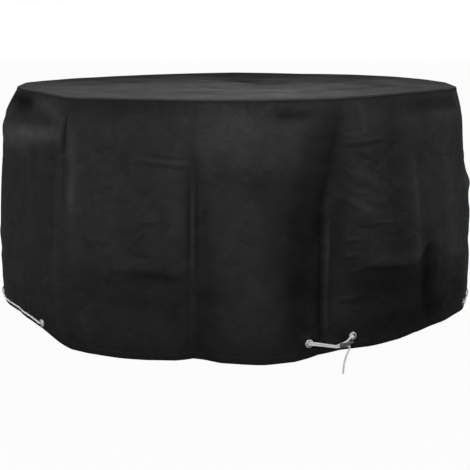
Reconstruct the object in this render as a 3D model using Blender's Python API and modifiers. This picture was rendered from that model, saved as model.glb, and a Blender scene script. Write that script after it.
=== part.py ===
"""Round patio furniture cover: a sagging top panel, a draped skirt with an eyelet hem, and its drawcord.

Metres, +Z up. The origin is on the underside of the top panel, at its middle, where the furniture carries it.
Bearings are degrees round the cover, 0 at the front (-Y) and growing towards +X.
"""
import math

import bmesh
import bpy
import numpy as np
from mathutils import Matrix, Vector

# Driving dimensions -----------------------------------------------------------------------------
CLOTH_THICKNESS = 0.002
SEAT_GAP = 0.0003
NOMINAL_RADIUS = 0.920
RIM_BASE = 0.005
HEM_BAND = 0.066
RIM_BAND = 0.005
TOP_LAP = 0.006
TOP_SAG_POWER = 1.7
TOP_EDGE_POWER = 5.0
TOP_RIM_MEAN = 0.013

EYELET_BORE = 0.0074
EYELET_BARREL = 0.0083
EYELET_FLANGE = 0.0137
EYELET_PLATE = 0.0011
EYELET_CHAMFER = 0.0009
EYELET_SEGMENTS = 20
EYELET_HALF_CELL = 1.15

CORD_RADIUS = 0.0031
CORD_CLEARANCE = 0.0015
STRAND_OFFSET = 0.0033
TIE_STEP = 0.011
TAIL_POINTS = 16

SLIDER_DEPTH = 0.011
SLIDER_BORE = 0.0038
SLIDER_TILT = 9.0
SLIDER_LEFT = (0.024, -0.0160, 0.0125)
SLIDER_BORE_TILT = 8.0
SLIDER_BORE_RISE = 0.0040
SLIDER_RUN = 0.028
BORE_LEAD = 0.010
SLIDER_SIDES = 12
SLIDER_SQUARENESS = 0.6
# Half width of the slider along its length: along, half_width
SLIDER_OUTLINE = (
    (0.0, 0.0078), (0.004, 0.0088), (0.015, 0.0088), (0.034, 0.0062), (0.048, 0.0038), (0.051, 0.0022),
)
KNOT_RADIUS = 0.0080
KNOT_PLACE = (-0.003, 0.009, -0.011)
CUTTER_LENGTH = 0.120
CUTTER_SIDES = 12
HOLE_SIDES = 20
CORD_END_DEPTH = 0.0032

# Free end of the cord below the slider: along, up, outward from the tie's middle
TAIL_PLACES = (
    (0.0600, -0.0290, 0.0125), (0.0565, -0.0400, 0.0125), (0.0480, -0.0590, 0.0120),
    (0.0425, -0.0860, 0.0115), (0.0410, -0.1150, 0.0110),
)

FRONT_LIMIT = 80.0
FRONT_PITCH = 2.5
BACK_PITCH = 3.7
CORNER_SOFTNESS = 2.0

# Levels of the skirt's rows of points, as shares of the way from the rim seam to the hem band.
SKIRT_ROWS = (0.05, 0.11, 0.18, 0.26, 0.34, 0.42, 0.50, 0.58, 0.66, 0.74, 0.82, 0.91)
# Rings of the top, as shares of the rim's radius; the first TOP_FULL_RINGS have every rim point.
TOP_RINGS = (0.96, 0.86, 0.70, 0.50, 0.28, 0.10)
TOP_FULL_RINGS = 2

# Skirt radius in millimetres at six levels, a row for each bearing.
LEVELS = (0.0, 0.075, 0.30, 0.56, 0.78, 1.0)
# bearing, rim, shoulder, upper, middle, lower, hem
STATIONS = (
    (-75.0, 847, 885, 916, 936, 944, 943),
    (-66.0, 849, 883, 910, 931, 938, 939),
    (-53.0, 847, 874, 898, 925, 934, 937),
    (-39.0, 854, 885, 918, 938, 942, 940),
    (-24.0, 846, 872, 898, 932, 926, 931),
    (-8.5, 850, 879, 916, 937, 938, 936),
    (4.0, 847, 873, 899, 923, 930, 934),
    (13.0, 848, 874, 895, 909, 915, 932),
    (18.5, 851, 879, 910, 927, 924, 929),
    (30.0, 847, 873, 901, 934, 926, 930),
    (41.0, 847, 877, 914, 940, 936, 934),
    (53.0, 846, 870, 895, 929, 934, 932),
    (66.0, 849, 873, 902, 931, 936, 936),
    (76.0, 855, 872, 895, 928, 938, 936),
    (95.0, 851, 881, 917, 938, 944, 939),
    (109.0, 847, 873, 898, 925, 931, 932),
    (124.0, 851, 883, 919, 940, 943, 939),
    (138.0, 846, 872, 896, 921, 929, 932),
    (152.0, 850, 881, 916, 936, 940, 938),
    (166.0, 847, 874, 898, 923, 926, 931),
    (181.0, 852, 885, 921, 940, 944, 939),
    (195.0, 847, 873, 896, 922, 931, 932),
    (209.0, 850, 879, 914, 936, 939, 938),
    (224.0, 846, 873, 898, 921, 926, 931),
    (238.0, 851, 883, 919, 940, 942, 939),
    (252.0, 847, 874, 898, 925, 931, 932),
    (266.0, 849, 879, 913, 934, 940, 939),
)

# Height of the rim seam above RIM_BASE and of the hem below the origin, millimetres.
# bearing, rim_height
RIM_HEIGHTS = (
    (-75, 7), (-62, 9), (-52, 9), (-41, 1), (-30, 4), (-18, 7), (0, 7), (20, 9), (30, 12), (42, 16), (56, 14),
    (74, 4), (100, 6), (121, 8), (141, 8), (158, 5), (180, 8), (209, 3), (228, 1), (250, 2), (268, 6),
)
# bearing, hem_drop
HEM_DROPS = (
    (-68, 788), (-57, 776), (-51, 782), (-45.6, 796), (-39.6, 819), (-36.5, 831), (-32, 832), (-18.4, 821),
    (-12, 811), (-9.8, 804), (-8.4, 799), (-6, 803), (-3, 812), (5.7, 819), (11.7, 816), (14.4, 808),
    (16.5, 799), (21.3, 792), (28.4, 797), (36.4, 796), (40.9, 789), (50.9, 793), (59.5, 801), (67, 811),
    (76, 808), (86, 797), (102, 818), (117, 801), (132, 815), (150, 822), (166, 799), (184, 816),
    (201, 824), (216, 800), (232, 817), (250, 826), (265, 800), (282, 792),
)

# Skirt folds: a soft ridge (+) or trough (-) along a line on the cloth, millimetres.
# from_bearing, from_drop, to_bearing, to_drop, half_width, height
SKIRT_FOLDS = (
    (-40.2, 4, -38.4, 800, 13, 5.0),
    (-43.5, 30, -42.2, 330, 22, -6.0),
    (-36.0, 110, -36.3, 345, 14, 3.0),
    (-8.0, 190, -8.0, 545, 12, 10.0),
    (-10.2, 195, -10.2, 520, 14, -6.0),
    (-5.8, 200, -6.0, 520, 14, -6.0),
    (-8.2, 560, -8.4, 790, 12, 4.0),
    (-18.2, 174, -11.0, 188, 14, -4.0),
    (-22.0, 218, -11.0, 226, 16, -4.5),
    (20.0, 50, 16.7, 246, 22, -12.0),
    (16.4, 250, 12.2, 560, 36, -13.0),
    (12.2, 560, 13.4, 730, 40, -8.0),
    (18.4, 280, 17.4, 560, 12, 5.0),
    (-26.0, 535, -12.0, 525, 26, 8.0),
    (-27.0, 600, -14.0, 592, 26, -8.0),
    (27.0, 520, 41.0, 545, 24, 9.0),
    (27.0, 588, 42.0, 612, 28, -10.0),
    (-2.0, 224, 1.5, 272, 22, -5.0),
    (1.5, 272, 5.0, 262, 22, -5.0),
    (38.2, 565, 42.5, 470, 18, 6.0),
    (44.5, 490, 47.0, 555, 20, -8.0),
    (50.5, 490, 47.0, 555, 20, -8.0),
    (-70.0, 45, -50.0, 78, 24, -8.0),
    (-66.0, 125, -44.0, 145, 26, 5.0),
    (27.0, 5, 27.3, 105, 14, 5.0),
    (24.0, 215, 29.0, 250, 18, 4.0),
    (23.0, 330, 30.0, 372, 20, -5.0),
    (61.0, 60, 59.0, 380, 26, -7.0),
    (68.0, 322, 84.0, 330, 24, 9.0),
    (63.0, 520, 74.0, 540, 26, 8.0),
    (84.0, 40, 86.0, 560, 28, -10.0),
    (97.0, 250, 96.0, 690, 16, 7.0),
    (104.0, 540, 118.0, 522, 26, 8.0),
    (103.0, 600, 119.0, 590, 28, -9.0),
    (131.0, 60, 134.0, 420, 30, -11.0),
    (133.0, 470, 130.0, 640, 34, -9.0),
    (145.0, 210, 158.0, 232, 20, -5.0),
    (153.0, 190, 152.0, 600, 15, 8.0),
    (160.0, 548, 176.0, 530, 26, 8.0),
    (161.0, 608, 176.0, 596, 28, -9.0),
    (190.0, 60, 187.5, 520, 30, -10.0),
    (196.0, 160, 204.0, 190, 22, 5.0),
    (209.5, 180, 209.0, 640, 15, 8.0),
    (217.0, 530, 231.0, 548, 26, 8.0),
    (217.0, 592, 232.0, 606, 28, -9.0),
    (246.0, 50, 243.0, 400, 30, -11.0),
    (243.0, 440, 247.0, 640, 34, -8.0),
    (258.0, 120, 270.0, 150, 22, 5.0),
    (267.0, 220, 266.0, 660, 16, 7.0),
    (272.0, 520, 282.0, 536, 26, 7.0),
    (272.0, 585, 282.0, 596, 28, -8.0),
)

# Broad wrinkles of the top, metres: from_x, from_y, to_x, to_y, half_width, height
TOP_FOLDS = (
    (-0.62, -0.36, 0.30, -0.46, 0.075, 0.0050),
    (-0.30, -0.16, 0.66, -0.22, 0.080, -0.0045),
    (-0.66, 0.06, 0.16, 0.02, 0.080, 0.0045),
    (-0.20, 0.30, 0.60, 0.24, 0.080, 0.0050),
    (-0.50, 0.50, 0.30, 0.56, 0.080, -0.0045),
    (-0.08, -0.66, 0.44, -0.62, 0.060, 0.0035),
)

# Eyelets in the order in which the cord meets them: bearing, rise_above_hem (millimetres)
EYELETS = (
    (14.7, 48), (24.3, 43), (67.0, 26), (116.6, 26), (166.2, 26), (215.8, 26), (265.4, 26), (313.4, 18),
)
# Droop of each hem run below the line between its two eyelets, millimetres
RUN_DROOP = (0, 0, 3, 2, 3, 2, 3, 2)

# Bearings that must carry a line of skirt points, for the narrow folds.
FOLD_BEARINGS = (-42.6, -40.0, -37.4, -10.2, -8.1, -6.0, 17.6, 41.0, 97.0, 152.5, 209.2)

# The cord through one eyelet, millimetres: along the hem, outward (mirrored where the cord goes in)
BEND = ((-12.5, -6.5), (-7.2, -6.9), (-3.0, -4.3), (0.0, 0.0), (3.0, 4.3), (7.2, 6.9), (12.5, 6.5))
BEND_EDGE = 0.0060

OBJECT_NAME = "patio_furniture_cover"

# Finishes: colour, roughness, metallic
FINISHES = {
    "cover_fabric_top": ((0.030, 0.031, 0.033), 0.55, 0.0),
    "cover_fabric_wall": ((0.022, 0.023, 0.025), 0.60, 0.0),
    "eyelet_metal": ((0.62, 0.62, 0.63), 0.32, 0.9),
    "cord_white": ((0.78, 0.78, 0.76), 0.80, 0.0),
    "slider_grey": ((0.075, 0.078, 0.082), 0.55, 0.0),
}


# Scene helpers ----------------------------------------------------------------------------------
def clear_scene():
    """Remove the objects that a new file starts with."""
    for item in list(bpy.data.objects):
        bpy.data.objects.remove(item, do_unlink=True)


def make_collection(name, parent=None):
    """Return a new collection, linked to the scene or to another collection."""
    group = bpy.data.collections.new(name)
    (parent or bpy.context.scene.collection).children.link(group)
    return group


def make_material(name):
    """Return a Principled material with the named finish."""
    if name in bpy.data.materials:
        return bpy.data.materials[name]
    colour, roughness, metallic = FINISHES[name]
    material = bpy.data.materials.new(name)
    material.use_nodes = True
    shader = material.node_tree.nodes["Principled BSDF"]
    shader.inputs["Base Color"].default_value = (*colour, 1.0)
    shader.inputs["Roughness"].default_value = roughness
    shader.inputs["Metallic"].default_value = metallic
    return material


def add_object(name, data, group, finish=None):
    """Link mesh or curve data as an object of a collection, with its material."""
    item = bpy.data.objects.new(name, data)
    group.objects.link(item)
    if finish:
        data.materials.append(make_material(finish))
    return item


def mesh_from(name, build):
    """Return a mesh filled by a function that takes an empty bmesh."""
    work = bmesh.new()
    build(work)
    bmesh.ops.recalc_face_normals(work, faces=work.faces)
    mesh = bpy.data.meshes.new(name)
    work.to_mesh(mesh)
    work.free()
    return mesh


# Shape of the cloth -----------------------------------------------------------------------------
def ring_value(rows, bearing):
    """Read a bearing table between its rows, closed round the cover."""
    keys = [float(row[0]) for row in rows]
    values = [float(row[1]) for row in rows]
    return float(np.interp(bearing, keys, values, period=360.0))


def rim_height(bearing):
    """Height of the rim seam at a bearing."""
    return RIM_BASE + 0.001 * ring_value(RIM_HEIGHTS, bearing)


def hem_height(bearing):
    """Height of the hem's edge at a bearing."""
    return -0.001 * ring_value(HEM_DROPS, bearing)


def station_radius(row, level):
    """Radius of one station at a level between the rim (0) and the hem (1)."""
    return 0.001 * float(np.interp(level, LEVELS, row[1:]))


def chord_radius(bearing, level):
    """Radius of the straight cloth between the two stations beside a bearing."""
    start = STATIONS[0][0]
    turned = start + (bearing - start) % 360.0
    for index, row in enumerate(STATIONS):
        after = STATIONS[(index + 1) % len(STATIONS)]
        end = after[0] + (360.0 if index + 1 == len(STATIONS) else 0.0)
        if turned <= end:
            break
    span = math.radians(end - row[0])
    part = math.radians(turned - row[0])
    near = station_radius(row, level)
    far = station_radius(after, level)
    return near * far * math.sin(span) / (far * math.sin(span - part) + near * math.sin(part))


def line_falloff(point, start, end, half_width):
    """Bell-shaped weight of a point beside a line, 1 on the line."""
    direction = (end[0] - start[0], end[1] - start[1])
    length = direction[0] ** 2 + direction[1] ** 2
    reach = (point[0] - start[0]) * direction[0] + (point[1] - start[1]) * direction[1]
    reach = min(1.0, max(0.0, reach / length))
    away = math.hypot(point[0] - start[0] - reach * direction[0], point[1] - start[1] - reach * direction[1])
    return math.exp(-((away / half_width) ** 2))


def fold_offset(bearing, drop):
    """Sum of the skirt folds at a bearing and a drop below the origin, metres."""
    scale = 1000.0 * math.radians(1.0) * NOMINAL_RADIUS
    total = 0.0
    for from_bearing, from_drop, to_bearing, to_drop, half_width, height in SKIRT_FOLDS:
        turned = from_bearing + (bearing - from_bearing + 180.0) % 360.0 - 180.0
        start = (from_bearing * scale, from_drop)
        end = (to_bearing * scale, to_drop)
        total += height * line_falloff((turned * scale, 1000.0 * drop), start, end, half_width)
    return 0.001 * total


def skirt_radius(bearing, height):
    """Radius of the skirt's middle surface at a bearing and height."""
    top = rim_height(bearing)
    level = (top - height) / (top - hem_height(bearing))
    taps = ((-CORNER_SOFTNESS, 1.0), (0.0, 2.0), (CORNER_SOFTNESS, 1.0))
    radius = sum(weight * chord_radius(bearing + turn, level) for turn, weight in taps) / 4.0
    fade = min(1.0, level / LEVELS[1])
    return radius + fade * fold_offset(bearing, -height)


def on_cover(bearing, radius, height):
    """Point at a bearing, radius and height."""
    angle = math.radians(bearing)
    return Vector((radius * math.sin(angle), -radius * math.cos(angle), height))


def skirt_bearings():
    """Bearings of the skirt's lines of points: close in front, wider behind, an even number in all."""
    fixed = {round(bearing % 360.0, 3) for bearing in FOLD_BEARINGS}
    for bearing, _ in EYELETS:
        fixed |= {round((bearing + side * EYELET_HALF_CELL) % 360.0, 3) for side in (-1, 1)}
    fixed = sorted(fixed)
    result = []
    for index, start in enumerate(fixed):
        end = fixed[(index + 1) % len(fixed)]
        if end <= start:
            end += 360.0
        middle = (0.5 * (start + end) + 180.0) % 360.0 - 180.0
        pitch = FRONT_PITCH if abs(middle) < FRONT_LIMIT else BACK_PITCH
        count = max(1, round((end - start) / pitch))
        result += [start + (end - start) * step / count for step in range(count)]
    if len(result) % 2:
        gaps = [(result[(i + 1) % len(result)] - result[i]) % 360.0 for i in range(len(result))]
        widest = gaps.index(max(gaps))
        result.insert(widest + 1, result[widest] + 0.5 * gaps[widest])
    return result


def eyelet_at(bearing):
    """Return the eyelet whose flat cell has an edge at this bearing, if any."""
    for row in EYELETS:
        away = abs((bearing - row[0] + 180.0) % 360.0 - 180.0)
        if abs(away - EYELET_HALF_CELL) < 0.01:
            return row
    return None


def eyelet_radius(row):
    """Distance of an eyelet's centre from the cover's axis."""
    bearing = row[0]
    height = hem_height(bearing) + 0.5 * HEM_BAND
    corner = skirt_radius(bearing, height)
    return corner * math.cos(math.radians(EYELET_HALF_CELL))


def skirt_column(bearing):
    """Points of the skirt's middle surface down one bearing, from the rim to the hem."""
    row = eyelet_at(bearing)
    at = row[0] if row else bearing
    top = rim_height(bearing) - SEAT_GAP
    low = hem_height(at)
    band = low + HEM_BAND
    rim = skirt_radius(bearing, rim_height(bearing))
    points = [on_cover(bearing, rim, top), on_cover(bearing, rim, top - RIM_BAND)]
    for fraction in SKIRT_ROWS:
        height = top + (band - top) * fraction
        points.append(on_cover(bearing, skirt_radius(bearing, height), height))
    for height in (band, low):
        if row:
            radius = eyelet_radius(row) / math.cos(math.radians(EYELET_HALF_CELL))
        else:
            radius = skirt_radius(bearing, height)
        points.append(on_cover(bearing, radius, height))
    return points


# Panels -----------------------------------------------------------------------------------------
def build_skirt(group, cutters, bearings):
    """Skirt: one ring of cloth with its eyelet holes cut through the hem."""
    columns = [skirt_column(bearing) for bearing in bearings]

    def build(work):
        grid = [[work.verts.new(point) for point in column] for column in columns]
        for index, column in enumerate(grid):
            after = grid[(index + 1) % len(grid)]
            for row in range(len(column) - 1):
                work.faces.new((column[row], column[row + 1], after[row + 1], after[row]))

    skirt = add_object("wall_panel", mesh_from("wall_panel", build), group, "cover_fabric_wall")
    skirt.data.shade_smooth()
    thicken = skirt.modifiers.new("cloth", "SOLIDIFY")
    thicken.thickness = CLOTH_THICKNESS
    thicken.offset = 0.0
    thicken.use_even_offset = True
    holes = make_collection("cutters_holes", cutters)
    for number, row in enumerate(EYELETS, start=1):
        hole = turned_cutter(f"cut_hole_{number}", EYELET_BARREL + SEAT_GAP, HOLE_SIDES)
        holes.objects.link(hole)
        hole.matrix_world = eyelet_frame(row)
    cut = skirt.modifiers.new("holes", "BOOLEAN")
    cut.operand_type = "COLLECTION"
    cut.collection = holes
    cut.solver = "EXACT"
    return columns


def turned_cutter(name, radius, sides):
    """Closed cylinder along local Z, hidden from the render."""
    def build(work):
        bmesh.ops.create_cone(
            work, cap_ends=True, segments=sides, radius1=radius, radius2=radius, depth=CUTTER_LENGTH
        )

    item = bpy.data.objects.new(name, mesh_from(name, build))
    item.hide_render = True
    item.display_type = "WIRE"
    return item


def top_height(x, y, share, edge):
    """Height of the top's underside: a sag with broad wrinkles that die out at the rim."""
    level = TOP_RIM_MEAN * share ** TOP_SAG_POWER + (edge - TOP_RIM_MEAN) * share ** TOP_EDGE_POWER
    fade = 1.0 - share ** 6
    middle = min(1.0, 6.0 * share)
    for from_x, from_y, to_x, to_y, half_width, height in TOP_FOLDS:
        level += height * fade * middle * line_falloff((x, y), (from_x, from_y), (to_x, to_y), half_width)
    return level


def build_top(group, bearings, columns):
    """Top panel: a sagging disc whose edge lies over the skirt's upper edge."""
    half = 0.5 * CLOTH_THICKNESS

    def ring_points(share, thin):
        points = []
        for index in range(0, len(bearings), 2 if thin else 1):
            rim = columns[index][0]
            reach = math.hypot(rim.x, rim.y)
            edge = rim_height(bearings[index])
            point = on_cover(bearings[index], reach * share, 0.0)
            points.append(Vector((point.x, point.y, top_height(point.x, point.y, share, edge))))
        return points

    def skin(work, lift):
        rings = []
        for outward in (half, -TOP_LAP):
            ring = []
            for index, bearing in enumerate(bearings):
                rim = columns[index][0]
                point = on_cover(bearing, math.hypot(rim.x, rim.y) + outward, rim_height(bearing) + lift)
                ring.append(work.verts.new(point))
            rings.append(ring)
        for number, share in enumerate(TOP_RINGS):
            points = ring_points(share, number >= TOP_FULL_RINGS)
            rings.append([work.verts.new(point + Vector((0.0, 0.0, lift))) for point in points])
        centre = work.verts.new((0.0, 0.0, lift))
        for outer, inner in zip(rings, rings[1:]):
            join_rings(work, outer, inner)
        last = rings[-1]
        for index, vertex in enumerate(last):
            work.faces.new((vertex, last[(index + 1) % len(last)], centre))
        return rings[0]

    def build(work):
        lower = skin(work, 0.0)
        upper = skin(work, CLOTH_THICKNESS)
        for index, vertex in enumerate(lower):
            after = (index + 1) % len(lower)
            work.faces.new((vertex, lower[after], upper[after], upper[index]))

    add_object("top_panel", mesh_from("top_panel", build), group, "cover_fabric_top").data.shade_smooth()


def join_rings(work, outer, inner):
    """Faces between two closed rings, the inner one with as many points or half as many."""
    count = len(outer)
    if len(inner) == count:
        for index in range(count):
            after = (index + 1) % count
            work.faces.new((outer[index], outer[after], inner[after], inner[index]))
        return
    for index in range(len(inner)):
        after = (index + 1) % len(inner)
        first, middle, last = outer[2 * index], outer[2 * index + 1], outer[(2 * index + 2) % count]
        work.faces.new((first, middle, inner[index]))
        work.faces.new((middle, inner[after], inner[index]))
        work.faces.new((middle, last, inner[after]))


# Eyelets ----------------------------------------------------------------------------------------
def eyelet_frame(row):
    """Placement of an eyelet: local Z outward, local X along the hem, local Y up."""
    bearing, rise = row
    outward = on_cover(bearing, 1.0, 0.0)
    up = Vector((0.0, 0.0, 1.0))
    along = up.cross(outward)
    centre = on_cover(bearing, eyelet_radius(row), hem_height(bearing) + 0.001 * rise)
    turn = Matrix((along, up, outward)).transposed().to_4x4()
    return Matrix.Translation(centre) @ turn


def build_eyelets(group):
    """Eight pressed eyelets, each a turned ring that wraps the edge of its hole."""
    inner = 0.5 * CLOTH_THICKNESS + SEAT_GAP
    face = inner + EYELET_PLATE
    profile = (
        (EYELET_FLANGE - EYELET_CHAMFER, face), (EYELET_FLANGE, inner), (EYELET_BARREL, inner),
        (EYELET_BARREL, -inner), (EYELET_FLANGE, -inner), (EYELET_FLANGE - EYELET_CHAMFER, -face),
        (EYELET_BORE, -face + SEAT_GAP), (EYELET_BORE, face - SEAT_GAP),
    )
    mesh = bpy.data.meshes.new("eyelet")
    edges = [(index, (index + 1) % len(profile)) for index in range(len(profile))]
    mesh.from_pydata([(radius, 0.0, height) for radius, height in profile], edges, [])
    mesh.materials.append(make_material("eyelet_metal"))
    for number, row in enumerate(EYELETS, start=1):
        ring = bpy.data.objects.new(f"eyelet_{number}", mesh)
        group.objects.link(ring)
        ring.matrix_world = eyelet_frame(row)
        spin = ring.modifiers.new("turn", "SCREW")
        spin.angle = 2.0 * math.pi
        spin.steps = EYELET_SEGMENTS
        spin.render_steps = EYELET_SEGMENTS
        spin.use_merge_vertices = True
        spin.merge_threshold = 0.00005
        spin.use_smooth_shade = False


# Cord -------------------------------------------------------------------------------------------
def wall_at(columns, index, rise):
    """Skirt's middle surface down column index, at a rise above the hem."""
    upper, lower = columns[index][-2], columns[index][-1]
    share = rise / (upper.z - lower.z)
    return lower + (upper - lower) * share


def bend_points(row, side, strand, chosen):
    """Cord points through an eyelet; side is +1 where it comes out towards +bearing."""
    frame = eyelet_frame(row)
    return [frame @ Vector((0.001 * BEND[i][0], strand, 0.001 * side * BEND[i][1])) for i in chosen]


def run_points(columns, bearings, first, second, side, droop):
    """Cord points along the hem between two eyelets, on the outer (+1) or inner (-1) side."""
    start = EYELETS[first][0]
    span = (EYELETS[second][0] - start) % 360.0
    inside = [(((bearing - start) % 360.0) / span, index) for index, bearing in enumerate(bearings)]
    inside = sorted(item for item in inside if 0.0 < item[0] < 1.0)
    offset = 0.5 * CLOTH_THICKNESS + CORD_RADIUS + CORD_CLEARANCE
    points = []
    for share, index in inside:
        rise = EYELETS[first][1] * (1.0 - share) + EYELETS[second][1] * share
        rise -= droop * math.sin(math.pi * share)
        point = wall_at(columns, index, 0.001 * rise)
        reach = BEND_EDGE if eyelet_at(bearings[index]) else offset
        point = point + side * reach * Vector((point.x, point.y, 0.0)).normalized()
        points.append(point)
    return points


def tie_frame():
    """Frame of the front tie: local X along the hem, Y up, Z outward, midway between its two eyelets."""
    left, right = eyelet_frame(EYELETS[0]).translation, eyelet_frame(EYELETS[1]).translation
    along = Vector((right.x - left.x, right.y - left.y, 0.0)).normalized()
    up = Vector((0.0, 0.0, 1.0))
    outward = along.cross(up)
    middle = 0.5 * (left + right)
    middle.z = left.z
    turn = Matrix((along, up, outward)).transposed().to_4x4()
    return Matrix.Translation(middle) @ turn


def slider_frame():
    """Frame of the slider: local X from its wide end to its tip, Y up, Z outward."""
    turn = Matrix.Rotation(math.radians(SLIDER_TILT), 4, "Z")
    return tie_frame() @ Matrix.Translation(SLIDER_LEFT) @ turn


def bore_frame(side):
    """Frame of a slider bore: local X along the cord; side is +1 for the upper bore."""
    turn = Matrix.Rotation(math.radians(side * SLIDER_BORE_TILT), 4, "Z")
    return slider_frame() @ Matrix.Translation((0.0, side * SLIDER_BORE_RISE, 0.0)) @ turn


def bore_point(side, along):
    """Point on the axis of a slider bore, at a distance from its mouth."""
    return bore_frame(side) @ Vector((along, 0.0, 0.0))


def to_bore(start, side):
    """Strand from the left eyelet to the mouth of a slider bore, straight where it enters."""
    ahead = [bore_point(side, -BORE_LEAD), bore_point(side, -0.4 * BORE_LEAD)]
    return smooth_route([start, *ahead], TIE_STEP) + [bore_point(side, 0.0)]


def smooth_route(points, step):
    """Points at an even step along a Catmull-Rom curve through the given points."""
    padded = [2 * points[0] - points[1], *points, 2 * points[-1] - points[-2]]
    fine = []
    for p0, p1, p2, p3 in zip(padded, padded[1:], padded[2:], padded[3:]):
        for part in range(24):
            t = part / 24.0
            fine.append(0.5 * (2 * p1 + (p2 - p0) * t + (2 * p0 - 5 * p1 + 4 * p2 - p3) * t ** 2
                               + (3 * p1 - p0 - 3 * p2 + p3) * t ** 3))
    fine.append(points[-1])
    travel = [0.0]
    for before, after in zip(fine, fine[1:]):
        travel.append(travel[-1] + (after - before).length)
    count = max(2, round(travel[-1] / step))
    wanted = [travel[-1] * index / count for index in range(count + 1)]
    axes = [np.interp(wanted, travel, [point[axis] for point in fine]) for axis in range(3)]
    return [Vector(point) for point in zip(*axes)]


def drawcord_route(columns, bearings):
    """Centre line of the drawcord from the stop knot, round the hem and back to the slider."""
    knot_side = [eyelet_frame(EYELETS[0]) @ Vector((0.0, STRAND_OFFSET, -CORD_END_DEPTH))]
    upper_out = bend_points(EYELETS[0], 1, STRAND_OFFSET, (3, 4, 5, 6))
    right_in = bend_points(EYELETS[1], -1, 0.0, (0, 1))
    route = knot_side + upper_out[:-1] + to_bore(upper_out[-1], 1)
    route += smooth_route([bore_point(1, SLIDER_RUN), bore_point(1, SLIDER_RUN + 0.004), *right_in], TIE_STEP)
    route += bend_points(EYELETS[1], -1, 0.0, (2, 3, 4, 5, 6))
    side = -1
    for number in range(1, len(EYELETS)):
        second = (number + 1) % len(EYELETS)
        route += run_points(columns, bearings, number, second, side, RUN_DROOP[number])
        side = -side
        if second:
            route += bend_points(EYELETS[second], side, 0.0, range(len(BEND)))
    route += bend_points(EYELETS[0], side, -STRAND_OFFSET, (0, 1, 2, 3, 4, 5))
    lower_out = bend_points(EYELETS[0], side, -STRAND_OFFSET, (6,))
    route += to_bore(lower_out[0], -1)
    route.append(bore_point(-1, SLIDER_RUN))
    return route


def tail_route():
    """Centre line of the free end, from the slider's lower bore down to its tip."""
    start = bore_point(-1, SLIDER_RUN + SEAT_GAP)
    ahead = bore_point(-1, SLIDER_RUN + 0.006)
    tie = tie_frame()
    points = [start, ahead, *(tie @ Vector(place) for place in TAIL_PLACES)]
    length = sum((after - before).length for before, after in zip(points, points[1:]))
    return smooth_route(points, length / TAIL_POINTS)


def build_tube(name, points, group):
    """Round cord along a list of points, with filled ends."""
    curve = bpy.data.curves.new(name, "CURVE")
    curve.dimensions = "3D"
    curve.bevel_depth = CORD_RADIUS
    curve.bevel_resolution = 2
    curve.use_fill_caps = True
    spline = curve.splines.new("POLY")
    spline.points.add(len(points) - 1)
    for place, point in zip(spline.points, points):
        place.co = (*point, 1.0)
    add_object(name, curve, group, "cord_white")


def build_knot(group):
    """Stop knot behind the left front eyelet, too big for its bore."""
    def build(work):
        bmesh.ops.create_uvsphere(work, u_segments=12, v_segments=8, radius=KNOT_RADIUS)

    knot = add_object("cord_stop", mesh_from("cord_stop", build), group, "cord_white")
    knot.data.shade_smooth()
    knot.matrix_world = eyelet_frame(EYELETS[0]) @ Matrix.Translation(KNOT_PLACE)


def build_slider(group, cutters):
    """Cord slider: a tapered block with two slanted bores."""
    def build(work):
        rings = []
        widest = max(half for _, half in SLIDER_OUTLINE)
        for along, half in SLIDER_OUTLINE:
            depth = 0.25 * SLIDER_DEPTH * (1.0 + half / widest)
            ring = []
            for turn in range(SLIDER_SIDES):
                angle = 2.0 * math.pi * (turn + 0.5) / SLIDER_SIDES
                across = math.copysign(abs(math.cos(angle)) ** SLIDER_SQUARENESS, math.cos(angle))
                out = math.copysign(abs(math.sin(angle)) ** SLIDER_SQUARENESS, math.sin(angle))
                ring.append(work.verts.new((along, half * across, depth * out)))
            rings.append(ring)
        for near, far in zip(rings, rings[1:]):
            join_rings(work, near, far)
        work.faces.new(rings[0])
        work.faces.new(rings[-1])

    slider = add_object("cord_slider", mesh_from("cord_slider", build), group, "slider_grey")
    slider.matrix_world = slider_frame()
    for side, label in ((1, "upper"), (-1, "lower")):
        cutter = turned_cutter(f"cut_bore_{label}", SLIDER_BORE, CUTTER_SIDES)
        cutters.objects.link(cutter)
        cutter.matrix_world = bore_frame(side) @ Matrix.Rotation(0.5 * math.pi, 4, "Y")
        cut = slider.modifiers.new(f"bore_{label}", "BOOLEAN")
        cut.object = cutter
        cut.solver = "EXACT"


def main():
    """Build the cover in order: cloth, eyelets, cord and slider."""
    clear_scene()
    group = make_collection(OBJECT_NAME)
    cutters = make_collection("cutters")
    bearings = skirt_bearings()
    columns = build_skirt(group, cutters, bearings)
    build_top(group, bearings, columns)
    build_eyelets(group)
    build_tube("drawcord", drawcord_route(columns, bearings), group)
    build_tube("cord_tail", tail_route(), group)
    build_knot(group)
    build_slider(group, cutters)


main()
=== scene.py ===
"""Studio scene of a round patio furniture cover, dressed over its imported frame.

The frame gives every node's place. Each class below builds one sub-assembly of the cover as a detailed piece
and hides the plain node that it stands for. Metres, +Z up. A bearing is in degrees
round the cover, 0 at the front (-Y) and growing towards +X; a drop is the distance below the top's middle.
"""
import logging
import math
from dataclasses import dataclass
from enum import Enum
from typing import Any, Callable, Iterable, Optional, Sequence

import bpy
import numpy as np
from bpy.types import Material, Node, NodeSocket, NodeTree, Object
from mathutils import Matrix, Vector


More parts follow.
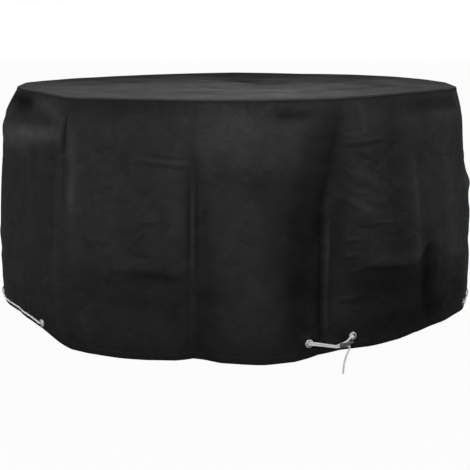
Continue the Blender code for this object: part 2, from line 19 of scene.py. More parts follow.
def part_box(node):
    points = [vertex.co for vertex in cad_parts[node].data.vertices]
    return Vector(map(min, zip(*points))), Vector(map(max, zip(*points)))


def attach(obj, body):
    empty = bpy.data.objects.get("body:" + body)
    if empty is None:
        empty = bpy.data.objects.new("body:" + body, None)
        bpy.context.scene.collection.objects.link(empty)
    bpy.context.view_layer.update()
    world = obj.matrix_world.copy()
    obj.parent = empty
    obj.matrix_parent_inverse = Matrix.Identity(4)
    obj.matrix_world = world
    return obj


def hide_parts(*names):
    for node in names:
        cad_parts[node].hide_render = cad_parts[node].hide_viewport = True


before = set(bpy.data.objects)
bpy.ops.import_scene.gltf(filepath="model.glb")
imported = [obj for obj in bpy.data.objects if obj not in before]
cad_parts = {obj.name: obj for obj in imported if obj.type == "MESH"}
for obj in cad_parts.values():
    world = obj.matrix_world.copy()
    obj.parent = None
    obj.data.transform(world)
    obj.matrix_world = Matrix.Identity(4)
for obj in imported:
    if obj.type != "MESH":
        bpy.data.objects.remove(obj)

LOG = logging.getLogger("patio_cover")
UP = Vector((0.0, 0.0, 1.0))
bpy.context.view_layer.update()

# View and stage ----
CAMERA_PLACE = (0.0, -3.612, 0.226)
CAMERA_PITCH = 13.0
CAMERA_LENS = 68.56
CAMERA_SHIFT = -1.0 / 470.0
FLOOR_LEVEL = -0.945
FLOOR_SIZE = 60.0
FLOOR_GLOW = 0.97
WORLD_GLOW = 0.27

# Cloth, metres ----
CLOTH_THICKNESS = 0.0012
NOMINAL_RADIUS = 0.920
RIM_BASE = 0.005
HEM_BAND = 0.066
# Painted shade and light that the skirt's own attribute puts into its colour: its rate per metre of fold and its
# limits, then reach and strength of the painted darker bands at the hem and under the rim
HOLLOW_RATE = 55.0
PAINTED_SHADE_LIMITS = (0.2, 2.3)
HEM_SHADE, HEM_DARK = 0.20, 0.38
RIM_SHADE, RIM_DARK = 0.035, 0.18
HEM_CRINKLE = 0.25
TOP_SAG_POWER = 1.7
TOP_EDGE_POWER = 5.0
TOP_RIM_MEAN = 0.013
LEVELS = (0.0, 0.075, 0.30, 0.56, 0.78, 1.0)

# Skirt radius in millimetres at six levels, a row for each bearing.
# bearing, rim, shoulder, upper, middle, lower, hem
STATIONS = (
    (-75, 847, 885, 916, 936, 944, 943), (-66, 849, 883, 910, 931, 938, 939), (-53, 847, 874, 898, 925, 934, 937),
    (-39, 854, 885, 918, 938, 942, 940), (-24, 846, 872, 898, 932, 926, 931), (-8.5, 850, 879, 916, 937, 938, 936),
    (4, 847, 873, 899, 923, 930, 934), (13, 848, 874, 895, 909, 915, 932), (18.5, 851, 879, 910, 927, 924, 929),
    (30, 847, 873, 901, 934, 926, 930), (41, 847, 877, 914, 940, 936, 934), (53, 846, 870, 895, 929, 934, 932),
    (66, 849, 873, 902, 931, 936, 936), (76, 855, 872, 895, 928, 938, 936), (95, 851, 881, 917, 938, 944, 939),
    (109, 847, 873, 898, 925, 931, 932), (124, 851, 883, 919, 940, 943, 939), (138, 846, 872, 896, 921, 929, 932),
    (152, 850, 881, 916, 936, 940, 938), (166, 847, 874, 898, 923, 926, 931), (181, 852, 885, 921, 940, 944, 939),
    (195, 847, 873, 896, 922, 931, 932), (209, 850, 879, 914, 936, 939, 938), (224, 846, 873, 898, 921, 926, 931),
    (238, 851, 883, 919, 940, 942, 939), (252, 847, 874, 898, 925, 931, 932), (266, 849, 879, 913, 934, 940, 939),
)
# bearing, rim_height (millimetres above RIM_BASE)
RIM_HEIGHTS = (
    (-75, 7), (-62, 9), (-52, 9), (-41, 1), (-30, 4), (-18, 7), (0, 7), (20, 9), (30, 12), (42, 16), (56, 14),
    (74, 4), (100, 6), (121, 8), (141, 8), (158, 5), (180, 8), (209, 3), (228, 1), (250, 2), (268, 6),
)
# bearing, hem_drop (millimetres)
HEM_DROPS = (
    (-68, 788), (-57, 776), (-51, 782), (-45.6, 796), (-39.6, 819), (-36.5, 831), (-32, 832), (-18.4, 821),
    (-12, 811), (-9.8, 804), (-8.4, 799), (-6, 803), (-3, 812), (5.7, 819), (11.7, 816), (14.4, 808),
    (16.5, 799), (21.3, 792), (28.4, 797), (36.4, 796), (40.9, 789), (50.9, 793), (59.5, 801), (67, 811),
    (76, 808), (86, 797), (102, 818), (117, 801), (132, 815), (150, 822), (166, 799), (184, 816),
    (201, 824), (216, 800), (232, 817), (250, 826), (265, 800), (282, 792),
)


class FoldShape(Enum):
    """Profile of a fold across its line."""

    SOFT = "round ridge or trough"
    CREASE = "sharp crest with hollow flanks"
    STEP = "one side stands proud of the other"


SOFT, CREASE, STEP = FoldShape.SOFT, FoldShape.CREASE, FoldShape.STEP

# Their heights, with those of the fine folds, also set the skirt's painted shade and light
# Broad soft folds of the skirt, millimetres (height is outward, negative inward):
# from_bearing, from_drop, to_bearing, to_drop, half_width, height
BROAD_FOLDS = (
    # left corner: dark shoulder, bright band, corner seam
    (-70, 28, -57.5, 36, 34, -22), (-50, 22, -41, 62, 26, 6), (-65, 160, -56, 148, 46, 15),
    (-54, 142, -43, 124, 34, 11), (-34, 14, -15, 14, 46, -5), (-40.4, 200, -40, 780, 13, 3),
    (-41.5, 240, -41.5, 420, 30, -2.5), (-36, 135, -35.5, 345, 22, 7), (-35.5, 345, -34.5, 560, 32, 2.5),
    (-17.5, 552, -12.5, 550, 26, -5), (-29, 640, -14, 630, 80, -4),
    # middle seam
    (-8.2, 262, -8.2, 540, 11, 4), (-8, 172, -7.6, 222, 22, -3.5), (-11.6, 170, -11.6, 520, 26, 2),
    (-5.9, 235, -6, 520, 16, -3), (-8.2, 560, -8.4, 790, 12, 1.5),
    # middle panel: bright shoulder, shallow dip, lit column
    (-0.5, 144, 6.5, 144, 78, 8.5), (-2, 228, 1.5, 262, 30, -1.2), (1.5, 262, 5.5, 252, 30, -1.2),
    (-6.5, 8, 7, 8, 42, -2), (9.5, 42, 14, 40, 26, -6), (0.5, 330, 3.5, 700, 78, 4), (-5.5, 600, -6.8, 780, 40, -5),
    # valley
    (20.4, 82, 19.2, 176, 32, -9.5), (17.6, 268, 16.8, 390, 26, -10), (16.5, 470, 16.9, 720, 22, -6),
    (16.2, 150, 15, 250, 46, -6), (13.4, 400, 12.8, 680, 60, -13), (18.7, 325, 18.2, 540, 11, 2.8),
    (20.9, 252, 20.2, 470, 22, -6),
    # wrinkled panel, its seam and the lighter panel
    (27, 10, 27.3, 105, 16, 2), (24, 215, 29, 250, 18, 3), (21.6, 298, 28, 350, 17, 3.5), (24, 378, 31, 424, 18, -2),
    (34.6, 90, 34.6, 470, 58, -4), (39.7, 220, 39.9, 500, 24, 3.5), (54, 150, 55, 440, 100, 4.5),
    (38, 22, 66, 34, 30, -8),
    # break with the dark hollow below
    (29, 498, 38, 515, 30, 2.5), (31.5, 608, 41, 620, 70, -12.5), (45, 556, 46.5, 690, 42, -11),
    (31, 735, 60, 728, 56, -10.5), (53, 630, 62, 690, 44, -7),
    # sides and back
    (68, 340, 84, 350, 34, 11), (71, 556, 84, 556, 44, -7), (84, 40, 86, 560, 28, -10), (97, 250, 96, 690, 16, 7),
    (104, 540, 118, 522, 26, 8), (103, 600, 119, 590, 28, -9), (131, 60, 134, 420, 30, -11),
    (133, 470, 130, 640, 34, -9), (145, 210, 158, 232, 20, -5), (153, 190, 152, 600, 15, 8),
    (160, 548, 176, 530, 26, 8), (161, 608, 176, 596, 28, -9), (190, 60, 187.5, 520, 30, -10),
    (196, 160, 204, 190, 22, 5), (209.5, 180, 209, 640, 15, 8), (217, 530, 231, 548, 26, 8),
    (217, 592, 232, 606, 28, -9), (246, 50, 243, 400, 30, -11), (243, 440, 247, 640, 34, -8),
    (258, 120, 270, 150, 22, 5), (267, 220, 266, 660, 16, 7), (272, 520, 282, 536, 26, 7),
    (272, 585, 282, 596, 28, -8),
)

# Fine folds of the skirt: their shape, the same columns, and a bow where the line bends
FINE_FOLDS = (
    # left panel and its corner
    (STEP, -84, 119, -38.8, 90, 9, 6), (CREASE, -38.7, 52, -38.4, 180, 6, -6.5),
    (SOFT, -38.8, 62, -38.6, 160, 8, -7), (CREASE, -38.4, 180, -38.3, 335, 5, -3.5),
    (SOFT, -67, 702, -45, 672, 14, -2), (CREASE, -61, 118, -60.5, 145, 7, -1.6),
    (SOFT, -70, 240, -66, 330, 16, -2, 6), (CREASE, -71, 380, -64, 470, 9, -1.6, 8),
    (CREASE, -72, 560, -66, 640, 9, 1.4, -6), (CREASE, -52, 250, -42, 262, 10, -1.2, 5),
    (CREASE, -50, 520, -41, 470, 11, -1.4, 8), (CREASE, -41.5, 360, -41, 520, 9, -1.8, 5),
    # middle panel
    (SOFT, -19, 160, -8, 171, 6, -2.8, 2), (SOFT, -18, 172, -10, 182, 9, 1.4, 2),
    (CREASE, -22, 193, -9.2, 200, 6, -2.6, -2), (CREASE, -22, 206, -14, 214, 8, -1, 3),
    (CREASE, -25, 404, -17, 412, 8, -1.2, 4), (SOFT, -33, 330, -24, 316, 14, -1.4, 6),
    (CREASE, -36.5, 560, -34, 640, 9, -1.4, 6), (STEP, -26.5, 534, -10.5, 538, 9, -4.5, -5),
    (SOFT, -31, 648, -18, 640, 16, -1.2, 5), (CREASE, -16, 600, -11.5, 690, 9, -1.2, 6),
    (CREASE, -13, 410, -9.8, 430, 7, -1.2, 3),
    # middle seam
    (SOFT, -8.25, 262, -8.25, 530, 5, 2.5), (SOFT, -9, 205, -9, 540, 7, -6.5), (SOFT, -7.5, 205, -7.5, 550, 7, -6),
    (CREASE, -8.2, 545, -8.3, 795, 5, 1.6), (CREASE, -9.2, 560, -9.3, 780, 7, -2.2),
    (CREASE, -7.3, 560, -7.3, 790, 7, -1.8),
    # middle to the valley
    (CREASE, -3, 214, 6.5, 258, 14, -1.6, 14), (CREASE, 1, 196, 4.5, 226, 8, -1.3, 3),
    (CREASE, 8, 44, 15, 38, 9, -2.2, 3), (CREASE, 3, 620, 5.5, 720, 9, -1.4, 5),
    (CREASE, -4, 460, -2, 560, 9, 1.2, 5), (CREASE, 6, 360, 8.5, 500, 10, -1.6, 7),
    # the valley and its seam
    (CREASE, 20.6, 85, 18.9, 200, 9, -2.5, 2), (CREASE, 18.9, 200, 17, 330, 7, -5),
    (CREASE, 17.1, 330, 17.2, 770, 6, -7), (CREASE, 18.1, 290, 18.2, 785, 5, 8), (CREASE, 19, 330, 19, 740, 6, -4),
    (CREASE, 11.5, 690, 16, 676, 8, -1.4, 3),
    # wrinkled panel on the right
    (CREASE, 27.4, 4, 27.2, 102, 5, 2.4), (CREASE, 26.2, 10, 25.8, 95, 6, -1.6),
    (CREASE, 21.5, 122, 34, 112, 6, 2.6, 4), (CREASE, 21.5, 136, 33, 127, 6, -2.4, 4),
    (CREASE, 24, 108, 28, 92, 6, 2, 3), (CREASE, 21.5, 178, 25, 216, 6, -2.4, 4),
    (CREASE, 25, 170, 29.5, 190, 6, -2.4, -4), (CREASE, 29, 216, 33.5, 196, 6, 1.8, 3),
    (CREASE, 22.8, 262, 28, 286, 6, 2.4, 5), (CREASE, 21.6, 300, 25, 338, 6, -2.4, 4),
    (CREASE, 27, 302, 33, 320, 7, 1.8, 3), (CREASE, 28, 377, 35.5, 384, 5, 2.6, 2),
    (CREASE, 24, 390, 31, 392, 6, -2.4, 4), (CREASE, 25, 338, 24.6, 396, 6, 2, 4),
    (CREASE, 28, 420, 27.6, 492, 5, 2.4, -4), (CREASE, 30.4, 430, 30, 505, 6, -2.2, 4),
    (CREASE, 22.4, 455, 26.5, 474, 6, -2.2, 4), (CREASE, 21.2, 515, 22.2, 584, 6, 2, 5),
    (CREASE, 21.6, 100, 25.5, 96, 5, 2, 2), (CREASE, 21.8, 428, 25.6, 424, 5, 2.4, 2),
    (CREASE, 21.8, 442, 25, 440, 5, -2.2, 2), (CREASE, 21.8, 480, 25.8, 478, 5, 2.4, -2),
    (CREASE, 22, 494, 25.4, 492, 5, -2.2, 2), (CREASE, 22.4, 528, 27, 526, 5, 2.2, 3),
    (CREASE, 20.5, 620, 28, 604, 6, 2.8, 10), (CREASE, 21, 636, 27, 642, 7, -2.2, 5),
    (CREASE, 23, 666, 27.8, 694, 8, -1.8, -4), (CREASE, 33, 190, 37, 260, 9, -1.5, 6),
    (CREASE, 34, 410, 38.5, 500, 9, -1.6, 6),
    # seam of the lighter panel, break and dark notch
    (CREASE, 39.8, 190, 40, 552, 6, 3.4), (STEP, 48, 50, 66, 62, 10, 5), (STEP, 25.5, 522, 40.2, 552, 8, -8),
    (STEP, 40.2, 556, 44.2, 476, 10, -8), (STEP, 44.2, 476, 50, 530, 12, -8), (STEP, 50, 530, 66, 604, 18, -8),
    (CREASE, 42.2, 340, 43.4, 456, 7, 2, 4), (CREASE, 46.4, 566, 45, 700, 12, -2.4, 4),
    (CREASE, 46, 192, 61, 206, 9, -1.6, 6), (CREASE, 50, 322, 61, 348, 10, -1.3, 6),
    (CREASE, 57, 430, 64, 520, 10, -1.6, 8), (CREASE, 66, 250, 78, 262, 10, -2.4, 5),
    (CREASE, 64, 100, 66.5, 220, 9, 1.8, 6), (CREASE, 52, 640, 62, 690, 12, -1.8, 8),
    # sides and back, drawn like the front
    (CREASE, 96.8, 60, 96.4, 700, 6, 3.2), (CREASE, 95.6, 200, 95.4, 640, 6, -3),
    (STEP, 104, 545, 119, 536, 13, -3.4, 5), (CREASE, 104, 168, 116, 180, 8, -2, 4),
    (CREASE, 123, 60, 123.6, 320, 7, -2.4, 3), (CREASE, 134.5, 200, 133, 700, 8, -3.4, 5),
    (CREASE, 141, 150, 150, 130, 8, 2, 5), (CREASE, 139, 330, 147, 350, 9, -1.8, 6),
    (CREASE, 152.6, 40, 152.2, 640, 6, 3.6), (CREASE, 151.2, 190, 151, 600, 6, -3.2),
    (STEP, 160, 552, 176, 540, 13, -3.8, 5), (CREASE, 168, 230, 178, 212, 9, -1.8, 5),
    (CREASE, 180.4, 50, 180.8, 330, 7, -2.6, 3), (CREASE, 189, 120, 187.6, 520, 8, -3.6, 6),
    (CREASE, 195, 300, 205, 330, 9, -1.8, 6), (CREASE, 209.4, 40, 209, 650, 6, 3.6),
    (CREASE, 210.8, 200, 210.4, 620, 6, -3.2), (STEP, 217, 534, 232, 550, 13, -3.8, -5),
    (CREASE, 219, 180, 231, 160, 8, -1.8, 5), (CREASE, 238.4, 40, 238, 300, 7, -2.6, 3),
    (CREASE, 245.4, 120, 243.4, 700, 8, -3.4, 6), (CREASE, 250, 420, 259, 470, 9, -1.8, 6),
    (CREASE, 266.6, 60, 266.2, 660, 6, 3.2), (STEP, 271, 534, 283, 544, 13, -3.4, 4),
)

# Wide waves of the top, millimetres: from_x, from_y, to_x, to_y, half_width, height
TOP_FOLDS = (
    (-620, -360, 300, -460, 75, 5), (-300, -160, 660, -220, 80, -4.5), (-660, 60, 160, 20, 80, 4.5),
    (-200, 300, 600, 240, 80, 5), (-500, 500, 300, 560, 80, -4.5), (-80, -660, 440, -620, 60, 3.5),
)
# Sewn lengths of the skirt: name, first and last bearing, degrees between columns of points
PANELS = (
    ("wall_cloth_left", -90.0, -8.2, 0.46), ("wall_cloth_right", -8.2, 90.0, 0.50),
    ("wall_cloth_back", 90.0, 270.0, 1.1),
)

# Eyelets in the order in which the cord meets them: bearing, rise_above_hem (millimetres)
EYELETS = (
    (14.7, 48), (24.3, 43), (67.0, 26), (116.6, 26), (166.2, 26), (215.8, 26), (265.4, 26), (313.4, 18),
)
# Droop of each hem run below the line between its two eyelets, millimetres
RUN_DROOP = (0, 0, 3, 2, 3, 2, 3, 2)
EYELET_HALF_CELL = 1.15
EYELET_HOLE = 0.0080

# Cord and slider, metres ----
CORD_RADIUS = 0.0031
CORD_CLEARANCE = 0.0015
STRAND_OFFSET = 0.0033
CORD_SIDES = 14
# The cord through one eyelet, millimetres: along the hem, outward (mirrored where the cord goes in)
BEND = ((-12.5, -6.5), (-7.2, -6.9), (-3.0, -4.3), (0.0, 0.0), (3.0, 4.3), (7.2, 6.9), (12.5, 6.5))
TIE_STEP = 0.011
# Runs along the hem: degrees between points, and the places beside each, degrees and metres, that it clears
RUN_PITCH = 0.8
RUN_BESIDE = ((-0.3, 0.0, 0.3), (-0.003, 0.003))
CORD_END_DEPTH = 0.0032
SLIDER_TILT = 9.0
SLIDER_LEFT = (0.024, -0.0160, 0.0125)
SLIDER_BORE = 0.0038
SLIDER_BORE_TILT = 8.0
SLIDER_BORE_RISE = 0.0040
SLIDER_RUN = 0.028
BORE_LEAD = 0.010
# Straight lengths of the cord and of its tail past the slider
BORE_EXITS = (0.004, 0.006)
KNOT_PLACE = (-0.003, 0.009, -0.011)
TAIL_POINTS = 16
SEAT_GAP = 0.0003
# Free end of the cord below the slider: along, up, outward from the tie's middle
TAIL_PLACES = (
    (0.0600, -0.0290, 0.0125), (0.0565, -0.0400, 0.0125), (0.0480, -0.0590, 0.0120),
    (0.0425, -0.0860, 0.0115), (0.0410, -0.1150, 0.0110),
)


# Shape of the cloth ----
@dataclass(frozen=True)
class Fold:
    """One fold, drawn as a line on the unrolled cloth, in millimetres.

    Attributes:
        shape: Profile across the line.
        start: Place of its first end, across and down the cloth.
        end: Place of its last end.
        half_width: Distance over which it fades to the side.
        height: How far it stands out, or in where negative.
        bow: How far its middle bends off the straight line.
    """

    shape: FoldShape
    start: tuple[float, float]
    end: tuple[float, float]
    half_width: float
    height: float
    bow: float = 0.0

    # A round fold's fading towards its ends (greatest share, length in half widths), a crease's blunt crest
    # and a step's reach, in half widths
    THINNING, BLUNT, STEP_REACH = (0.75, 30.0), 0.35, 4.0

    def offset(self, across: np.ndarray, down: np.ndarray) -> np.ndarray:
        """Outward offset that this fold gives to points of the cloth.

        Args:
            across: Place of each point across the cloth, millimetres.
            down: Place of each point down the cloth, millimetres.

        Returns:
            The offset of each point, millimetres.
        """
        run = (self.end[0] - self.start[0], self.end[1] - self.start[1])
        length = math.hypot(*run)
        ahead = (run[0] / length, run[1] / length)
        from_start = (across - self.start[0], down - self.start[1])
        reach = from_start[0] * ahead[0] + from_start[1] * ahead[1]
        side = from_start[1] * ahead[0] - from_start[0] * ahead[1]
        share = np.clip(reach / length, 0.0, 1.0)
        side = side - self.bow * 4.0 * share * (1.0 - share)
        beyond = np.maximum(0.0, np.maximum(-reach, reach - length))
        if self.shape is SOFT:
            away = np.hypot(side, 0.5 * beyond)
            most, long = self.THINNING
            thinned = min(most, length / (long * self.half_width)) * np.abs(2.0 * share - 1.0) ** 3
            return self.height * (1.0 - thinned) * np.exp(-((away / self.half_width) ** 2))
        away = np.hypot(side, beyond)
        taper = 1.0 - np.abs(2.0 * share - 1.0) ** 5
        if self.shape is CREASE:
            blunt = self.BLUNT * self.half_width
            return self.height * taper * np.exp(-(np.hypot(away, blunt) - blunt) / self.half_width)
        spread = np.exp(-((away / (self.STEP_REACH * self.half_width)) ** 2))
        return 0.5 * self.height * taper * np.tanh(side / self.half_width) * spread


@dataclass(frozen=True)
class Crinkles:
    """Small seeded creases that cloth keeps from being packed.

    Attributes:
        seed: Seed of the places.
        count: Number of creases over the skirt.
        lengths: Shortest and longest crease, millimetres.
        half_widths: Narrowest and widest, millimetres.
        height: Greatest offset, millimetres.
    """

    seed: int = 7
    count: int = 900
    lengths: tuple[float, float] = (28.0, 120.0)
    half_widths: tuple[float, float] = (6.0, 14.0)
    height: float = 2.0
    # Spread of the slant, band of the middles, bare edges in millimetres, least share of the height, bow
    SLANT, BAND, BARE, LEAST, BOW = 0.75, (0.06, 0.92), (12.0, 60.0), 0.25, 0.12

    def folds(self, width: float, depth: float) -> list[Fold]:
        """Seeded creases over an unrolled cloth.

        Args:
            width: Width of the cloth, millimetres.
            depth: Depth of the cloth, millimetres.

        Returns:
            The creases, each clear of the cloth's edges.
        """
        source = np.random.default_rng(self.seed)
        result = []
        for _ in range(self.count):
            length = source.uniform(*self.lengths)
            angle = source.normal(0.5 * math.pi, self.SLANT)
            x, y = source.uniform(0.0, width), source.uniform(*self.BAND) * depth
            run, drop = 0.5 * length * math.cos(angle), 0.5 * length * math.sin(angle)
            start = (x - run, max(self.BARE[0], y - drop))
            end = (x + run, min(depth - self.BARE[1], y + drop))
            height = source.uniform(self.LEAST, 1.0) * self.height * source.choice((-1.0, 1.0))
            shape = SOFT if source.random() < 0.5 else CREASE
            result.append(Fold(shape, start, end, source.uniform(*self.half_widths), height,
                               source.uniform(-self.BOW, self.BOW) * length))
        return result


def on_cover(bearing: float, radius: float, height: float) -> Vector:
    """Point at a bearing, radius and height."""
    angle = math.radians(bearing)
    return Vector((radius * math.sin(angle), -radius * math.cos(angle), height))


def ring_values(rows: Sequence[Sequence[float]], bearing: np.ndarray) -> np.ndarray:
    """Read a bearing table between its rows, closed round the cover."""
    keys, values = np.array(rows, dtype=float).T
    return np.interp(bearing, keys, values, period=360.0)


class SkirtForm:
    """Middle surface of the skirt: panels between stations, broad folds, fine folds and flat eyelet places."""

    # Millimetres of cloth to a degree, and the depth over which it is crinkled, millimetres
    ACROSS = 1000.0 * math.radians(1.0) * NOMINAL_RADIUS
    CRINKLED_DEPTH = 830.0
    # Turns in degrees and weights that round the corners between the flat panels
    CORNER_TAPS = ((-3.0, 0.06), (-2.0, 0.12), (-1.0, 0.20), (0.0, 0.24), (1.0, 0.20), (2.0, 0.12), (3.0, 0.06))
    # Round an eyelet, millimetres: flat to the first distance and free from the second
    FLAT_REACH = (15.5, 30.0)
    # Puckers round an eyelet: their number, then height, distance and width in millimetres
    PUCKERS = (9.0, 0.7, 27.0, 10.0)
    # Degrees beside an eyelet that are looked at
    NEAR_BEARING = 6.0

    def __init__(self, crinkles: Crinkles) -> None:
        """Read the tables and the eyelets' places from the frame.

        Args:
            crinkles: Small creases to add to the drawn folds.
        """
        table = np.array(STATIONS)
        self.keys = table[:, 0]
        self.rings = 0.001 * table[:, 1:]
        self.slopes = np.gradient(self.rings, LEVELS, axis=1)
        self.broad = [self.fold(SOFT, *row) for row in BROAD_FOLDS]
        self.fine = [self.fold(*row) for row in FINE_FOLDS]
        self.crinkles = crinkles.folds(360.0 * self.ACROSS, self.CRINKLED_DEPTH)
        self.eyelets = [self.centre_of(f"eyelet_{number}") for number in range(1, len(EYELETS) + 1)]

    @staticmethod
    def centre_of(node: str) -> Vector:
        """Middle of a node's box."""
        low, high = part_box(node)
        return 0.5 * (Vector(low) + Vector(high))

    def fold(self, shape: FoldShape, bearing: float, drop: float, to_bearing: float, to_drop: float,
             *profile: float) -> Fold:
        """Fold of one table row, with its bearings turned into millimetres."""
        return Fold(shape, (bearing * self.ACROSS, drop), (to_bearing * self.ACROSS, to_drop), *profile)

    def rim(self, bearing: np.ndarray) -> np.ndarray:
        """Height of the rim seam."""
        return RIM_BASE + 0.001 * ring_values(RIM_HEIGHTS, bearing)

    def hem(self, bearing: np.ndarray) -> np.ndarray:
        """Height of the hem's edge."""
        return -0.001 * ring_values(HEM_DROPS, bearing)

    def chord(self, bearing: np.ndarray, level: np.ndarray) -> np.ndarray:
        """Radius of the straight cloth between the two stations beside each bearing, smooth down the cloth."""
        start = self.keys[0]
        turned = start + (bearing - start) % 360.0
        index = np.clip(np.searchsorted(self.keys, turned, side="right") - 1, 0, len(self.keys) - 1)
        after = (index + 1) % len(self.keys)
        end = np.where(after == 0, start + 360.0, self.keys[after])
        knots = np.array(LEVELS)
        low = np.clip(np.searchsorted(knots, level, side="right") - 1, 0, len(knots) - 2)
        width = knots[low + 1] - knots[low]
        t = (level - knots[low]) / width

        def down(row: np.ndarray) -> np.ndarray:
            """Smooth radius of a station at each level."""
            rise = 3.0 * t ** 2 - 2.0 * t ** 3
            leave = self.slopes[row, low] * width * (t ** 3 - 2.0 * t ** 2 + t)
            arrive = self.slopes[row, low + 1] * width * (t ** 3 - t ** 2)
            return self.rings[row, low] * (1.0 - rise) + self.rings[row, low + 1] * rise + leave + arrive

        near, far = down(index), down(after)
        span = np.radians(end - self.keys[index])
        part = np.radians(turned - self.keys[index])
        return near * far * np.sin(span) / (far * np.sin(span - part) + near * np.sin(part))

    def folds(self, folds: Iterable[Fold], bearing: np.ndarray, height: np.ndarray) -> np.ndarray:
        """Sum of some folds at points of the skirt, metres.

        Args:
            folds: The folds to add up.
            bearing: Bearing of each point.
            height: Height of each point.

        Returns:
            Outward offset of each point.
        """
        down = -1000.0 * height
        total = np.zeros_like(bearing)
        around = 360.0 * self.ACROSS
        for fold in folds:
            across = fold.start[0] + (bearing * self.ACROSS - fold.start[0] + 0.5 * around) % around - 0.5 * around
            margin = 5.0 * fold.half_width + abs(fold.bow)
            low_x, high_x = sorted((fold.start[0], fold.end[0]))
            low_y, high_y = sorted((fold.start[1], fold.end[1]))
            near = (across > low_x - margin) & (across < high_x + margin)
            near &= (down > low_y - margin) & (down < high_y + margin)
            total[near] += fold.offset(across[near], down[near])
        return 0.001 * total

    def drawn(self, bearing: np.ndarray, height: np.ndarray) -> np.ndarray:
        """Outward offset of the listed folds, metres."""
        return self.folds(self.broad, bearing, height) + self.folds(self.fine, bearing, height)

    def hollow(self, bearing: np.ndarray, height: np.ndarray) -> np.ndarray:
        """Painted shade and light: share of the cloth's colour left in its troughs (below 1) or gained on its ridges
        (above 1), with painted darker bands at the hem and under the rim.
        """
        folded = np.clip(np.exp(HOLLOW_RATE * self.drawn(bearing, height)), *PAINTED_SHADE_LIMITS)
        from_hem = np.clip((height - self.hem(bearing)) / HEM_SHADE, 0.0, 1.0)
        near_rim = np.exp(np.minimum(0.0, height - self.rim(bearing)) / RIM_SHADE)
        return folded * (1.0 - HEM_DARK * (1.0 - from_hem) ** 2) * (1.0 - RIM_DARK * near_rim)

    def radius(self, bearing: np.ndarray, height: np.ndarray) -> np.ndarray:
        """Radius of the skirt's middle surface at points given by bearing and height.

        Args:
            bearing: Bearings, degrees.
            height: Heights, metres, in an array of the same shape.

        Returns:
            The radii, metres.
        """
        top = self.rim(bearing)
        level = np.clip((top - height) / (top - self.hem(bearing)), 0.0, 1.0)
        radius = np.zeros_like(level)
        for turn, weight in self.CORNER_TAPS:
            radius += weight * self.chord(bearing + turn, level)
        small = self.folds(self.crinkles, bearing, height)
        hem_fade = np.clip((height - self.hem(bearing)) / HEM_BAND, 0.0, 1.0)
        small *= HEM_CRINKLE + (1.0 - HEM_CRINKLE) * hem_fade
        radius += np.minimum(1.0, level / LEVELS[1]) * (self.drawn(bearing, height) + small)
        return self.flatten(bearing, height, radius)

    def flatten(self, bearing: np.ndarray, height: np.ndarray, radius: np.ndarray) -> np.ndarray:
        """Press the cloth flat where an eyelet clamps it, with short puckers round it."""
        flat, free = self.FLAT_REACH
        count, pucker, ring, spread = self.PUCKERS
        for centre, (at, _) in zip(self.eyelets, EYELETS):
            turn = (bearing - at + 180.0) % 360.0 - 180.0
            reach = math.hypot(centre.x, centre.y)
            side = 1000.0 * reach * np.sin(np.radians(turn))
            rise = 1000.0 * (height - centre.z)
            away = np.hypot(side, rise)
            near = (np.abs(turn) < self.NEAR_BEARING) & (away < 3.0 * free)
            plane = reach / np.cos(np.radians(np.clip(turn, -30.0, 30.0)))
            share = np.clip((free - away) / (free - flat), 0.0, 1.0)
            share = np.where(near, share * share * (3.0 - 2.0 * share), 0.0)
            spokes = 0.001 * pucker * np.cos(count * np.arctan2(rise, side) + at)
            spokes *= np.where(near, np.exp(-(((away - ring) / spread) ** 2)), 0.0)
            radius = radius * (1.0 - share) + plane * share + spokes * (1.0 - share)
        return radius


